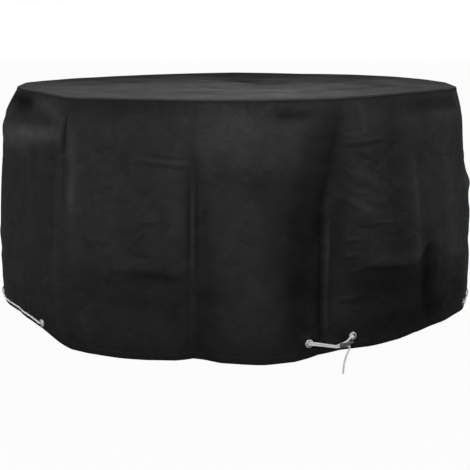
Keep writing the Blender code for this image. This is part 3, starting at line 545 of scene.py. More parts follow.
# Materials ----
class NodeSketch:
    """Short calls for building a node tree."""

    def __init__(self, tree: NodeTree) -> None:
        """Keep the tree that nodes are added to."""
        self.tree = tree

    def feed(self, node: Node, inputs: dict) -> None:
        """Give a node's inputs, by name or index, values or links."""
        for name, value in inputs.items():
            if isinstance(value, NodeSocket):
                self.tree.links.new(value, node.inputs[name])
            else:
                node.inputs[name].default_value = value

    def add(self, kind: str, inputs: Optional[dict] = None, **settings) -> Node:
        """Add a node.

        Args:
            kind: Node type.
            inputs: Values or sockets for its inputs, by name or index.
            **settings: Attributes of the node.

        Returns:
            The node.
        """
        node = self.tree.nodes.new(kind)
        for name, value in settings.items():
            setattr(node, name, value)
        self.feed(node, inputs or {})
        return node

    def math(self, operation: str, *values: Any) -> NodeSocket:
        """Result of a Math node on numbers or sockets."""
        return self.add("ShaderNodeMath", dict(enumerate(values)), operation=operation).outputs[0]

    def mix(self, factor: Any, low: Any, high: Any, blend: str = "MIX") -> NodeSocket:
        """Colour between two colours."""
        inputs = {0: factor, 6: low, 7: high}
        return self.add("ShaderNodeMix", inputs, data_type="RGBA", blend_type=blend).outputs[2]

    def remap(self, value: Any, *ends: float) -> NodeSocket:
        """Value moved from one range to another (0 to 1 where not given) and held inside it."""
        return self.add("ShaderNodeMapRange", dict(enumerate((value, *ends)))).outputs[0]

    def noise(self, place: Any, scale: Any, detail: float, distortion: float = 0.0) -> NodeSocket:
        """Noise at a place."""
        inputs = {"Vector": place, "Scale": scale, "Detail": detail, "Distortion": distortion}
        return self.add("ShaderNodeTexNoise", inputs).outputs[0]

    def bump(self, height: Any, distance: float, strength: float, **normal: Any) -> NodeSocket:
        """Normal of a relief, over another one where Normal is given."""
        inputs = {"Height": height, "Distance": distance, "Strength": strength, **normal}
        return self.add("ShaderNodeBump", inputs).outputs[0]

    def place(self, uv_map: str = "") -> NodeSocket:
        """Place on a UV map, or in the object's space without one."""
        if uv_map:
            return self.add("ShaderNodeUVMap", uv_map=uv_map).outputs[0]
        return self.add("ShaderNodeTexCoord").outputs["Object"]

    def hollow(self) -> NodeSocket:
        """Share of the colour that the piece's own attribute of painted shade and light leaves."""
        return self.add("ShaderNodeAttribute", attribute_name="hollow").outputs["Fac"]

    def thread(self, place: Any, pitch: Any) -> NodeSocket:
        """Wave with one crest at each pitch."""
        return self.math("SINE", self.math("MULTIPLY", self.math("DIVIDE", place, pitch), math.tau))

    def off_middle(self, value: Any, middle: Any = 0.5) -> NodeSocket:
        """Distance of a value from a middle one."""
        return self.math("ABSOLUTE", self.math("SUBTRACT", value, middle))

    def blend(self, operation: str, first: Any, rate: float, second: Any, other: float) -> NodeSocket:
        """Sum or difference of two values, each with its own rate."""
        return self.math(operation, self.math("MULTIPLY", first, rate), self.math("MULTIPLY", second, other))


class EffectGroup:
    """A shared shader effect: a node group that gives a height and a mask at a place."""

    def __init__(self, name: str, fill: Callable[[NodeSketch, Any], tuple], **numbers: float) -> None:
        """Make the group.

        Args:
            name: Name of the group.
            fill: Function that builds the inside and returns the height and the mask.
            **numbers: Number inputs and their default values.
        """
        self.tree = bpy.data.node_groups.new(name, "ShaderNodeTree")
        self.tree.interface.new_socket("Place", in_out="INPUT", socket_type="NodeSocketVector")
        for label, value in numbers.items():
            self.tree.interface.new_socket(label, in_out="INPUT", socket_type="NodeSocketFloat").default_value = value
        for label in ("Height", "Mask"):
            self.tree.interface.new_socket(label, in_out="OUTPUT", socket_type="NodeSocketFloat")
        sketch = NodeSketch(self.tree)
        made = fill(sketch, sketch.add("NodeGroupInput").outputs)
        sketch.add("NodeGroupOutput", dict(enumerate(made)))

    def use(self, sketch: NodeSketch, **inputs: Any) -> tuple[NodeSocket, NodeSocket]:
        """Height and mask of the group placed in a material."""
        node = sketch.add("ShaderNodeGroup", inputs, node_tree=self.tree)
        return node.outputs["Height"], node.outputs["Mask"]


def fill_weave(sketch: NodeSketch, given: Any) -> tuple:
    """Plain weave: warp and weft threads crossing over each other."""
    parts = sketch.add("ShaderNodeSeparateXYZ", {0: given["Place"]}).outputs
    crossing = sketch.math("MULTIPLY", *(sketch.thread(parts[axis], given["Pitch"]) for axis in (0, 1)))
    slub = sketch.noise(given["Place"], 260.0, 1.0)
    return sketch.blend("ADD", crossing, 0.5, slub, 0.6), sketch.remap(crossing, -1.0, 1.0)


def fill_crinkle(sketch: NodeSketch, given: Any) -> tuple:
    """Soft packed creases: folded noise at two sizes."""
    broad = sketch.noise(given["Place"], given["Scale"], 3.0, 0.6)
    fine = sketch.noise(given["Place"], sketch.math("MULTIPLY", given["Scale"], 3.1), 2.0, 1.0)
    return sketch.blend("ADD", sketch.off_middle(broad), 2.0, sketch.off_middle(fine), 0.7), broad


def fill_stitches(sketch: NodeSketch, given: Any) -> tuple:
    """One row of lock stitches along the first coordinate, at a set place on the second."""
    parts = sketch.add("ShaderNodeSeparateXYZ", {0: given["Place"]}).outputs
    away = sketch.off_middle(parts[1], given["Row"])
    beat = sketch.math("FRACT", sketch.math("DIVIDE", parts[0], given["Pitch"]))
    stitch = sketch.math("LESS_THAN", sketch.off_middle(beat), 0.36)
    mask = sketch.math("MULTIPLY", sketch.remap(away, 0.0007, 0.0002), stitch)
    return sketch.blend("SUBTRACT", mask, 1.0, sketch.remap(away, 0.0030, 0.0004), 0.8), mask


def fill_braid(sketch: NodeSketch, given: Any) -> tuple:
    """Round braid: two families of strands that cross on the slant."""
    parts = sketch.add("ShaderNodeSeparateXYZ", {0: given["Place"]}).outputs
    along = sketch.math("DIVIDE", parts[0], given["Pitch"])
    around = sketch.math("MULTIPLY", parts[1], 4.0)
    left, right = (sketch.math("PINGPONG", sketch.math(way, along, around), 0.5) for way in ("ADD", "SUBTRACT"))
    over = sketch.math("GREATER_THAN", sketch.thread(parts[0], given["Pitch"]), 0.0)
    low = sketch.math("MULTIPLY", left, sketch.math("SUBTRACT", 1.0, over))
    height = sketch.blend("ADD", low, 2.0, sketch.math("MULTIPLY", right, over), 2.0)
    return height, sketch.remap(height, 0.0, 0.5)


class Effects:
    """The node groups that the finishes share."""

    def __init__(self) -> None:
        """Make each group once."""
        self.weave = EffectGroup("weave", fill_weave, Pitch=0.0012)
        self.crinkle = EffectGroup("crinkle", fill_crinkle, Scale=20.0)
        self.stitches = EffectGroup("stitches", fill_stitches, Row=0.02, Pitch=0.004)
        self.braid = EffectGroup("braid", fill_braid, Pitch=0.004)


@dataclass(frozen=True)
class Finish:
    """Common part of every finish.

    Attributes:
        name: Name of the material.
        colour: Base colour, linear.
        roughness: Mean roughness.
        specular: Specular level of the shader.
    """

    name: str
    colour: tuple[float, float, float]
    roughness: float
    specular: float

    def build(self, effects: Effects) -> Material:
        """Make the material.

        Args:
            effects: Shared node groups.

        Returns:
            The material.
        """
        material = bpy.data.materials.new(self.name)
        material.use_nodes = True
        sketch = NodeSketch(material.node_tree)
        shader = material.node_tree.nodes["Principled BSDF"]
        sketch.feed(shader, {"Base Color": self.tint(1.0), "Roughness": self.roughness,
                             "Specular IOR Level": self.specular})
        sketch.feed(shader, self.inputs(sketch, effects))
        return material

    def inputs(self, sketch: NodeSketch, effects: Effects) -> dict:
        """Shader inputs that the finish adds; each finish gives its own."""
        raise NotImplementedError(self.name)

    def tint(self, share: float) -> tuple[float, float, float, float]:
        """Base colour, lighter or darker."""
        return (*(min(1.0, part * share) for part in self.colour), 1.0)


@dataclass(frozen=True)
class CoatedCloth(Finish):
    """Coated black polyester: fine weave, packed creases at two sizes, a stitched edge, and painted shade and light
    from the piece's attribute on its colour and specular level.

    Attributes:
        stitch_row: Distance of the stitches from the cloth's edge, metres.
        mottle: Strength of the light and dark patches.
        thread: Pitch of the weave, metres.
        creases: Noise scale, depth in metres and strength of the wide and of the small packed creases.
        weave: Depth in metres and strength of the weave.
        uneven: Spread of the roughness.
    """

    stitch_row: float
    mottle: float = 0.45
    thread: float = 0.0012
    creases: tuple = ((13.0, 0.0028, 0.9), (42.0, 0.00084, 0.9))
    weave: tuple[float, float] = (0.00012, 0.35)
    uneven: float = 0.07

    def inputs(self, sketch: NodeSketch, effects: Effects) -> dict:
        """Shader inputs of the cloth.

        Args:
            sketch: Tree of the material.
            effects: Shared node groups.

        Returns:
            Values and sockets by the names of the shader's inputs.
        """
        cloth = sketch.place("cloth")
        (wide, depth, strength), (small, shallow, fainter) = self.creases
        height, patches = effects.crinkle.use(sketch, Place=cloth, Scale=wide)
        normal = sketch.bump(height, depth, strength)
        height, specks = effects.crinkle.use(sketch, Place=cloth, Scale=small)
        normal = sketch.bump(height, shallow, fainter, Normal=normal)
        height = effects.weave.use(sketch, Place=cloth, Pitch=self.thread)[0]
        normal = sketch.bump(height, *self.weave, Normal=normal)
        height, stitches = effects.stitches.use(sketch, Place=sketch.place("edges"), Row=self.stitch_row)
        normal = sketch.bump(height, 0.0006, 0.8, Normal=normal)
        # Painted shade and light: the piece's attribute darkens and lightens the colour and scales the specular level
        shade = sketch.hollow()
        grey = sketch.add("ShaderNodeCombineColor", {0: shade, 1: shade, 2: shade}).outputs[0]
        colour = sketch.mix(patches, self.tint(1.0 - self.mottle), self.tint(1.0 + self.mottle))
        colour = sketch.mix(stitches, sketch.mix(1.0, colour, grey, "MULTIPLY"), self.tint(1.9))
        ends = (self.roughness - self.uneven, self.roughness + self.uneven)
        return {"Base Color": colour, "Normal": normal, "Roughness": sketch.remap(specks, 0.3, 0.7, *ends),
                "Specular IOR Level": sketch.math("MULTIPLY", shade, self.specular)}


@dataclass(frozen=True)
class PressedMetal(Finish):
    """Bright pressed eyelet metal with a fine brushed grain, dull spots and painted shade in its bore."""

    def inputs(self, sketch: NodeSketch, effects: Effects) -> dict:
        """Shader inputs of the metal, which needs none of the shared groups."""
        place = sketch.place()
        spots = sketch.noise(place, 120.0, 3.0)
        bright = sketch.mix(spots, self.tint(0.86), self.tint(1.08))
        # Painted shade in the bore, from the piece's attribute
        return {"Metallic": 0.7, "Base Color": sketch.mix(sketch.hollow(), self.tint(0.05), bright),
                "Roughness": sketch.remap(spots, 0.3, 0.7, self.roughness - 0.06, self.roughness + 0.12),
                "Normal": sketch.bump(sketch.noise(place, 900.0, 2.0), 0.00005, 0.3)}


@dataclass(frozen=True)
class BraidedCord(Finish):
    """White braided cord: slanted strands with painted shade in the gaps between them, and painted shade where it
    runs inside the cover.
    """

    def inputs(self, sketch: NodeSketch, effects: Effects) -> dict:
        """Shader inputs of the cord, with the shared braid."""
        height, mask = effects.braid.use(sketch, Place=sketch.place("cord"), Pitch=0.0042)
        # Painted shade in the gaps between the strands; the attribute then paints shade where the cord runs inside
        # the cover
        braid_with_shaded_gaps = sketch.mix(mask, self.tint(0.70), self.tint(1.03))
        return {"Base Color": sketch.mix(sketch.hollow(), self.tint(0.06), braid_with_shaded_gaps),
                "Normal": sketch.bump(height, 0.0005, 0.7), "Sheen Weight": 0.25}


@dataclass(frozen=True)
class MouldedPlastic(Finish):
    """Dark grey moulded plastic with a fine spark-eroded grain, lighter on its sharp edges and ridge crests."""

    def inputs(self, sketch: NodeSketch, effects: Effects) -> dict:
        """Shader inputs of the plastic, which needs none of the shared groups."""
        sharp_edges = sketch.remap(sketch.add("ShaderNodeNewGeometry").outputs["Pointiness"], 0.50, 0.60)
        return {"Base Color": sketch.mix(sharp_edges, self.tint(0.92), self.tint(1.7)),
                "Normal": sketch.bump(sketch.noise(sketch.place(), 1400.0, 2.0), 0.0001, 0.4)}


# Building helpers ----
def select_only(item: Object) -> None:
    """Make one object the only selected and active one."""
    bpy.ops.object.select_all(action="DESELECT")
    item.select_set(True)
    bpy.context.view_layer.objects.active = item


def apply_all(item: Object) -> None:
    """Apply every modifier of an object."""
    select_only(item)
    for modifier in list(item.modifiers):
        bpy.ops.object.modifier_apply(modifier=modifier.name)


def thicken(item: Object, thickness: float) -> None:
    """Give a sheet its thickness, half to each side."""
    solid = item.modifiers.new("thickness", "SOLIDIFY")
    solid.thickness = thickness
    solid.offset = 0.0
    apply_all(item)


def cut_away(item: Object, cutter: Object) -> None:
    """Cut a tool's volume out of an object and delete the tool."""
    cut = item.modifiers.new("cut", "BOOLEAN")
    cut.object = cutter
    cut.solver = "EXACT"
    apply_all(item)
    bpy.data.objects.remove(cutter, do_unlink=True)


def settle(item: Object, place: Matrix) -> None:
    """Put an object at a place and the place into its mesh."""
    item.matrix_world = place
    select_only(item)
    bpy.ops.object.transform_apply(location=True, rotation=True, scale=True)


def face_out(item: Object) -> None:
    """Turn every face of a closed mesh outward."""
    select_only(item)
    bpy.ops.object.mode_set(mode="EDIT")
    bpy.ops.mesh.select_all(action="SELECT")
    bpy.ops.mesh.normals_make_consistent(inside=False)
    bpy.ops.object.mode_set(mode="OBJECT")


def grid_faces(index: np.ndarray, turned: bool = False) -> list[list[int]]:
    """Quads between the point numbers of a grid, wound the other way where turned."""
    corners = [index[:-1, :-1], index[:-1, 1:], index[1:, 1:], index[1:, :-1]]
    if turned:
        corners[1::2] = corners[3::-2]
    return np.stack(corners, axis=-1).reshape(-1, 4).tolist()


def mesh_object(name: str, points: Iterable, faces: Iterable) -> Object:
    """New linked object from points and faces."""
    mesh = bpy.data.meshes.new(name)
    mesh.from_pydata([tuple(point) for point in points], [], [tuple(face) for face in faces])
    mesh.update()
    item = bpy.data.objects.new(name, mesh)
    bpy.context.scene.collection.objects.link(item)
    return item


def lay_uv(item: Object, name: str, places: np.ndarray) -> None:
    """Add a UV map from one place for each point of the mesh.

    Args:
        item: The object.
        name: Name of the map.
        places: Two numbers for each point.
    """
    layer = item.data.uv_layers.new(name=name)
    index = np.empty(len(item.data.loops), dtype=np.int32)
    item.data.loops.foreach_get("vertex_index", index)
    layer.data.foreach_set("uv", places[index].astype(np.float32).ravel())


def mark_painted_shade(item: Object, values: np.ndarray) -> None:
    """Keep one value for each point as the attribute of painted shade and light that the finishes darken or lighten
    their colour by.
    """
    layer = item.data.attributes.get("hollow") or item.data.attributes.new("hollow", "FLOAT", "POINT")
    layer.data.foreach_set("value", values.astype(np.float32).ravel())


def smooth_route(points: Sequence[Vector], step: float) -> list[Vector]:
    """Points at an even step along a Catmull-Rom curve through the given points.

    Args:
        points: Points to pass through.
        step: Wanted distance between the new points.

    Returns:
        The new points, first and last as given.
    """
    padded = [2 * points[0] - points[1], *points, 2 * points[-1] - points[-2]]
    fine = []
    for p0, p1, p2, p3 in zip(padded, padded[1:], padded[2:], padded[3:]):
        for part in range(24):
            t = part / 24.0
            fine.append(0.5 * (2 * p1 + (p2 - p0) * t + (2 * p0 - 5 * p1 + 4 * p2 - p3) * t ** 2
                               + (3 * p1 - p0 - 3 * p2 + p3) * t ** 3))
    fine.append(points[-1])
    travel = [0.0]
    for before, after in zip(fine, fine[1:]):
        travel.append(travel[-1] + (after - before).length)
    count = max(2, round(travel[-1] / step))
    wanted = [travel[-1] * index / count for index in range(count + 1)]
    axes = [np.interp(wanted, travel, [point[axis] for point in fine]) for axis in range(3)]
    return [Vector(point) for point in zip(*axes)]


class RoundCord:
    """A round cord along a route, as one closed tube with its own UV map."""

    END_BULGE = 0.6

    def __init__(self, name: str, route: Sequence[Vector], radii: Sequence[float] = ()) -> None:
        """Keep the route.

        Args:
            name: Name of the piece.
            route: Points of its centre line.
            radii: Radius at each point, or none for an even cord.
        """
        self.name = name
        self.route = list(route)
        self.radii = list(radii) or [CORD_RADIUS] * len(self.route)

    def frames(self) -> list[tuple[Vector, Vector]]:
        """Two side directions at each point, turned as little as possible along the way."""
        result = []
        side: Optional[Vector] = None
        last = len(self.route) - 1
        for index in range(last + 1):
            ahead = (self.route[min(last, index + 1)] - self.route[max(0, index - 1)]).normalized()
            side = side or ahead.orthogonal().normalized()
            side = (side - ahead * side.dot(ahead)).normalized()
            result.append((side, ahead.cross(side)))
        return result

    def build(self) -> Object:
        """Make the tube, with rounded ends."""
        points, places, faces, travel = [], [], [], 0.0
        for index, (place, radius, (first, second)) in enumerate(zip(self.route, self.radii, self.frames())):
            travel += (place - self.route[index - 1]).length if index else 0.0
            for turn in range(CORD_SIDES):
                angle = math.tau * turn / CORD_SIDES
                points.append(place + radius * (first * math.cos(angle) + second * math.sin(angle)))
                places.append((travel, turn / CORD_SIDES))
        after = [*range(1, CORD_SIDES), 0]
        last = len(points) - CORD_SIDES
        for low in range(0, last, CORD_SIDES):
            high = low + CORD_SIDES
            faces += [(low + turn, low + far, high + far, high + turn) for turn, far in enumerate(after)]
        for end, near, low, order in ((0, 1, 0, -1), (-1, -2, last, 1)):
            out = (self.route[end] - self.route[near]).normalized()
            faces += [(*(low + turn, low + far)[::order], len(points)) for turn, far in enumerate(after)]
            points.append(self.route[end] + self.END_BULGE * self.radii[end] * out)
            places.append((places[low][0], 0.5))
        LOG.info("%s: %d rings, %d points", self.name, len(self.route), len(points))
        item = mesh_object(self.name, points, faces)
        lay_uv(item, "cord", np.array(places))
        mark_painted_shade(item, np.ones(len(points)))
        face_out(item)
        item.data.shade_smooth()
        return item


# Route of the drawcord ----
class LacePlan:
    """Places of the eyelets, the tie and the slider, and the routes of the cord through them."""

    def __init__(self, skirt: SkirtForm) -> None:
        """Read the eyelets' places from the frame.

        Args:
            skirt: Form of the skirt that the cord follows.
        """
        self.skirt = skirt
        self.eyelets = [self.eyelet_frame(row[0], centre) for row, centre in zip(EYELETS, skirt.eyelets)]

    @staticmethod
    def frame_at(middle: Vector, along: Vector, outward: Vector) -> Matrix:
        """Frame at a point: X along the hem, Y up, Z outward."""
        return Matrix.Translation(middle) @ Matrix((along, UP, outward)).transposed().to_4x4()

    @staticmethod
    def eyelet_frame(bearing: float, centre: Vector) -> Matrix:
        """Placement of an eyelet."""
        outward = on_cover(bearing, 1.0, 0.0)
        return LacePlan.frame_at(centre, UP.cross(outward), outward)

    def tie_frame(self) -> Matrix:
        """Frame of the front tie, midway between its two eyelets at the height of the left one."""
        left, right = self.eyelets[0].translation, self.eyelets[1].translation
        along = Vector((right.x - left.x, right.y - left.y, 0.0)).normalized()
        middle = 0.5 * (left + right)
        middle.z = left.z
        return self.frame_at(middle, along, along.cross(UP))

    def slider_frame(self) -> Matrix:
        """Frame of the slider: local X from its wide end to its tip, Y up, Z outward."""
        turn = Matrix.Rotation(math.radians(SLIDER_TILT), 4, "Z")
        return self.tie_frame() @ Matrix.Translation(SLIDER_LEFT) @ turn

    def bore_frame(self, side: int) -> Matrix:
        """Frame of a slider bore: local X along the cord; side is +1 for the upper bore."""
        turn = Matrix.Rotation(math.radians(side * SLIDER_BORE_TILT), 4, "Z")
        return self.slider_frame() @ Matrix.Translation((0.0, side * SLIDER_BORE_RISE, 0.0)) @ turn

    def bore_point(self, side: int, along: float) -> Vector:
        """Point on the axis of a slider bore, at a distance from its mouth."""
        return self.bore_frame(side) @ Vector((along, 0.0, 0.0))

    def to_bore(self, start: Vector, side: int) -> list[Vector]:
        """Strand from the left eyelet to the mouth of a slider bore."""
        ahead = [self.bore_point(side, -BORE_LEAD), self.bore_point(side, -0.4 * BORE_LEAD)]
        return smooth_route([start, *ahead], TIE_STEP) + [self.bore_point(side, 0.0)]

    def bend(self, eyelet: int, side: int, strand: float, chosen: Iterable[int]) -> list[Vector]:
        """Cord points through an eyelet; side is +1 where it comes out towards +bearing."""
        place = self.eyelets[eyelet]
        return [place @ Vector((0.001 * BEND[i][0], strand, 0.001 * side * BEND[i][1])) for i in chosen]

    def run(self, first: int, second: int, side: int) -> list[Vector]:
        """Cord points along the hem between two eyelets, outside (+1) or inside (-1) the cloth."""
        start = EYELETS[first][0]
        span = (EYELETS[second][0] - start) % 360.0
        droop = 0.001 * RUN_DROOP[first]
        offset = 0.5 * CLOTH_THICKNESS + CORD_RADIUS + CORD_CLEARANCE
        share = np.linspace(EYELET_HALF_CELL, span - EYELET_HALF_CELL, round(span / RUN_PITCH) + 1) / span
        bearing = start + span * share
        rise = 0.001 * (EYELETS[first][1] * (1.0 - share) + EYELETS[second][1] * share)
        height = self.skirt.hem(bearing) + rise - droop * np.sin(math.pi * share)
        turns, lifts = np.meshgrid(*RUN_BESIDE)
        beside = self.skirt.radius(bearing[:, None] + turns.ravel(), height[:, None] + lifts.ravel())
        wall = side * np.max(side * beside, axis=1)
        return [on_cover(turn, reach + side * offset, level) for turn, reach, level in zip(bearing, wall, height)]

    def drawcord(self) -> list[Vector]:
        """Centre line from the stop knot, round the hem and back to the slider."""
        upper_out = self.bend(0, 1, STRAND_OFFSET, (3, 4, 5, 6))
        right_in = self.bend(1, -1, 0.0, (0, 1))
        route = [self.eyelets[0] @ Vector((0.0, STRAND_OFFSET, -CORD_END_DEPTH))]
        route += upper_out[:-1] + self.to_bore(upper_out[-1], 1)
        leave = [self.bore_point(1, SLIDER_RUN), self.bore_point(1, SLIDER_RUN + BORE_EXITS[0])]
        route += smooth_route([*leave, *right_in], TIE_STEP)
        route += self.bend(1, -1, 0.0, (2, 3, 4, 5, 6))
        side = -1
        for number in range(1, len(EYELETS)):
            second = (number + 1) % len(EYELETS)
            route += self.run(number, second, side)
            side = -side
            if second:
                route += self.bend(second, side, 0.0, range(len(BEND)))
        route += self.bend(0, side, -STRAND_OFFSET, range(6))
        route += self.to_bore(self.bend(0, side, -STRAND_OFFSET, (6,))[0], -1)
        return [*route, self.bore_point(-1, SLIDER_RUN)]

    def tail(self) -> list[Vector]:
        """Centre line of the free end, from the slider's lower bore down to its tip."""
        start = self.bore_point(-1, SLIDER_RUN + SEAT_GAP)
        ahead = self.bore_point(-1, SLIDER_RUN + BORE_EXITS[1])
        tie = self.tie_frame()
        points = [start, ahead, *(tie @ Vector(place) for place in TAIL_PLACES)]
        length = sum((after - before).length for before, after in zip(points, points[1:]))
        return smooth_route(points, length / TAIL_POINTS)


# Pieces ----
def dress(item: Object, material: Material, nodes: Sequence[str]) -> None:
    """Give a piece its material, put it on the frame and let it stand for its nodes.

    Args:
        item: The finished piece.
        material: Its material.
        nodes: The nodes that it replaces.
    """
    item.data.materials.clear()
    item.data.materials.append(material)
    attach(item, "root")
    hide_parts(*nodes)
    LOG.info("%s: %d faces", item.name, len(item.data.polygons))


@dataclass
class LacedPiece:
    """A piece that the cord's plan places.

    Attributes:
        plan: Places and routes of the cord.
        material: Finish of the piece.
    """

    plan: LacePlan
    material: Material


@dataclass
class LooseEnd(LacedPiece):
    """The cord's free end, which hangs from the slider, thinner at its tip."""

    step: float = 0.0022
    tip_points: int = 3
    tip_share: float = 0.62

    def build(self) -> None:
        route = self.plan.tail()
        fine = smooth_route(route, self.step)
        radii = [CORD_RADIUS] * (len(fine) - self.tip_points) + [CORD_RADIUS * self.tip_share] * self.tip_points
        piece = RoundCord("cord_tail_braid", fine, radii).build()
        dress(piece, self.material, ["cord_tail"])


@dataclass
class Lace(LacedPiece):
    """The drawcord, laced through the eight eyelets and both bores of the slider, with painted shade where it runs
    behind the cloth.
    """

    step: float = 0.005
    # Depth behind the cloth over which painted shade darkens the cord, and the share of its colour that is left
    painted_shade_depth: float = 0.004
    painted_shade_share: float = 0.1

    def build(self) -> None:
        """Make the laced cord."""
        piece = RoundCord("drawcord_braid", smooth_route(self.plan.drawcord(), self.step)).build()
        # Painted shade on the cord where it lies behind the cloth
        place = np.array([point.co[:] for point in piece.data.vertices])
        bearing = np.degrees(np.arctan2(place[:, 0], -place[:, 1]))
        depth = self.plan.skirt.radius(bearing, place[:, 2]) - np.hypot(place[:, 0], place[:, 1])
        mark_painted_shade(piece, np.interp(depth, (0.0, self.painted_shade_depth), (1.0, self.painted_shade_share)))
        dress(piece, self.material, ["drawcord"])


@dataclass
class StopKnot(LacedPiece):
    """Overhand knot behind the left front eyelet."""

    steps: int = 96
    turned: float = 0.97
    across: float = 0.0017
    depth: float = 0.0031
    radius: float = 0.0027

    def build(self) -> None:
        """Make the knot as a closed loop of cord drawn tight."""
        centre = self.plan.eyelets[0] @ Matrix.Translation(KNOT_PLACE)
        route = []
        for index in range(self.steps + 1):
            turn = math.tau * index / self.steps * self.turned
            x = math.sin(turn) + 2.0 * math.sin(2.0 * turn)
            y = math.cos(turn) - 2.0 * math.cos(2.0 * turn)
            route.append(centre @ Vector((self.across * x, self.across * y, -self.depth * math.sin(3.0 * turn))))
        dress(RoundCord("stop_knot", route, [self.radius] * len(route)).build(), self.material,
              ["cord_stop"])


@dataclass
class Eyelet:
    """One pressed eyelet: rolled front bead, barrel and flat back washer."""

    number: int
    place: Matrix
    material: Material

    # Closed profile of the ring: radius, height above the cloth's middle, millimetres
    PROFILE = (
        (7.5, 0.0), (7.5, 1.0), (7.9, 1.9), (8.8, 2.45), (9.9, 2.5), (11.2, 2.2), (12.5, 1.7), (13.4, 1.25),
        (13.7, 1.0), (13.5, 0.75), (12.4, 0.68), (8.4, 0.66), (8.3, 0.0), (8.4, -0.66), (12.4, -0.68),
        (13.6, -0.8), (13.6, -1.25), (13.0, -1.5), (9.6, -1.6), (8.2, -1.7), (7.6, -1.3), (7.5, -0.7),
    )
    STEPS = 56
    # Radii between which the painted shade of the bore fades into the bright flange, metres, and the share of colour
    # that the painted shade leaves
    BORE_SHADE_RADII = (0.0084, 0.0100)
    BORE_SHADE_SHARE = 0.10
    SMOOTH_BELOW = 50.0

    def build(self) -> None:
        """Make the eyelet by turning its profile about the barrel's axis."""
        bpy.ops.object.select_all(action="DESELECT")
        bpy.ops.mesh.primitive_circle_add(vertices=len(self.PROFILE), radius=0.01)
        piece = bpy.context.object
        piece.name = piece.data.name = f"eyelet_ring_{self.number}"
        for point, (radius, height) in zip(piece.data.vertices, self.PROFILE):
            point.co = (0.001 * radius, 0.0, 0.001 * height)
        bpy.ops.object.mode_set(mode="EDIT")
        bpy.ops.mesh.select_all(action="SELECT")
        bpy.ops.mesh.spin(steps=self.STEPS, angle=math.tau, center=(0.0, 0.0, 0.0), axis=(0.0, 0.0, 1.0))
        bpy.ops.mesh.select_all(action="SELECT")
        bpy.ops.mesh.remove_doubles(threshold=0.00002)
        bpy.ops.mesh.normals_make_consistent(inside=False)
        bpy.ops.object.mode_set(mode="OBJECT")
        radii = [math.hypot(point.co.x, point.co.y) for point in piece.data.vertices]
        # Painted shade over the bore and the inner edge of the bead
        mark_painted_shade(piece, np.interp(radii, self.BORE_SHADE_RADII, (self.BORE_SHADE_SHARE, 1.0)))
        settle(piece, self.place)
        bpy.ops.object.shade_smooth_by_angle(angle=math.radians(self.SMOOTH_BELOW))
        dress(piece, self.material, [f"eyelet_{self.number}"])


@dataclass
class CordSlider(LacedPiece):
    """Moulded cord slider: tapered body with grip ridges and two slanted bores."""

    # Half width and half depth along the body, millimetres: along, half_width, half_depth
    OUTLINE = (
        (0.0, 7.2, 4.3), (1.2, 8.2, 5.0), (4.0, 8.8, 5.4), (15.0, 8.8, 5.4), (24.0, 7.6, 5.0),
        (34.0, 6.1, 4.5), (42.0, 4.8, 4.0), (48.0, 3.6, 3.4), (50.4, 2.6, 2.7), (51.0, 1.8, 1.9),
    )
    EXTRA_STOPS = (2.0, 50.0, 0.75)
    SIDES = 32
    SQUARENESS = 0.55
    # Grip ridges, millimetres: places, half width, height, slant, and the share of the side that stays plain
    RIDGES = (7.0, 11.5, 16.0, 20.5, 25.0, 29.5, 34.0, 38.5)
    RIDGE_WIDTH, RIDGE_HEIGHT, RIDGE_SLANT, RIDGE_CLEAR = 0.85, 0.45, 0.35, 0.35
    SMOOTH_BELOW = 40.0

    def build(self) -> None:
        """Loft the body, raise its grip ridges and bore it."""
        body = self.loft()
        settle(body, self.plan.slider_frame())
        for side in (1, -1):
            bpy.ops.mesh.primitive_cylinder_add(vertices=28, radius=SLIDER_BORE, depth=0.16)
            cutter = bpy.context.object
            settle(cutter, self.plan.bore_frame(side) @ Matrix.Rotation(0.5 * math.pi, 4, "Y"))
            cut_away(body, cutter)
        face_out(body)
        bpy.ops.object.shade_smooth_by_angle(angle=math.radians(self.SMOOTH_BELOW))
        dress(body, self.material, ["cord_slider"])

    def loft(self) -> Object:
        """Body from rounded-square rings along its length, made by extruding a circle."""
        table = np.array(self.OUTLINE)
        stops = np.array(sorted({*table[:, 0], *np.arange(*self.EXTRA_STOPS)}))
        rings = list(zip(stops, *(np.interp(stops, table[:, 0], table[:, column]) for column in (1, 2))))
        bpy.ops.object.select_all(action="DESELECT")
        bpy.ops.mesh.primitive_circle_add(vertices=self.SIDES, radius=0.01, fill_type="NGON")
        body = bpy.context.object
        body.name = body.data.name = "slider_body"
        bpy.ops.object.mode_set(mode="EDIT")
        bpy.ops.mesh.select_all(action="SELECT")
        for _ in rings[1:]:
            bpy.ops.mesh.extrude_region_move(TRANSFORM_OT_translate={"value": (0.0, 0.0, 0.001)})
        bpy.ops.object.mode_set(mode="OBJECT")
        for point in body.data.vertices:
            along, half_width, half_depth = rings[round(1000.0 * point.co.z)]
            angle = math.atan2(point.co.y, point.co.x)
            across, out = (math.copysign(abs(part) ** self.SQUARENESS, part) for part in
                           (math.cos(angle), math.sin(angle)))
            slant = along + self.RIDGE_SLANT * half_width * across
            ridge = sum(math.exp(-(((slant - place) / self.RIDGE_WIDTH) ** 2)) for place in self.RIDGES)
            lift = self.RIDGE_HEIGHT * ridge * max(0.0, abs(out) - self.RIDGE_CLEAR) / (1.0 - self.RIDGE_CLEAR)
            point.co = Vector((along, half_width * across, (half_depth + lift) * out)) * 0.001
        return body


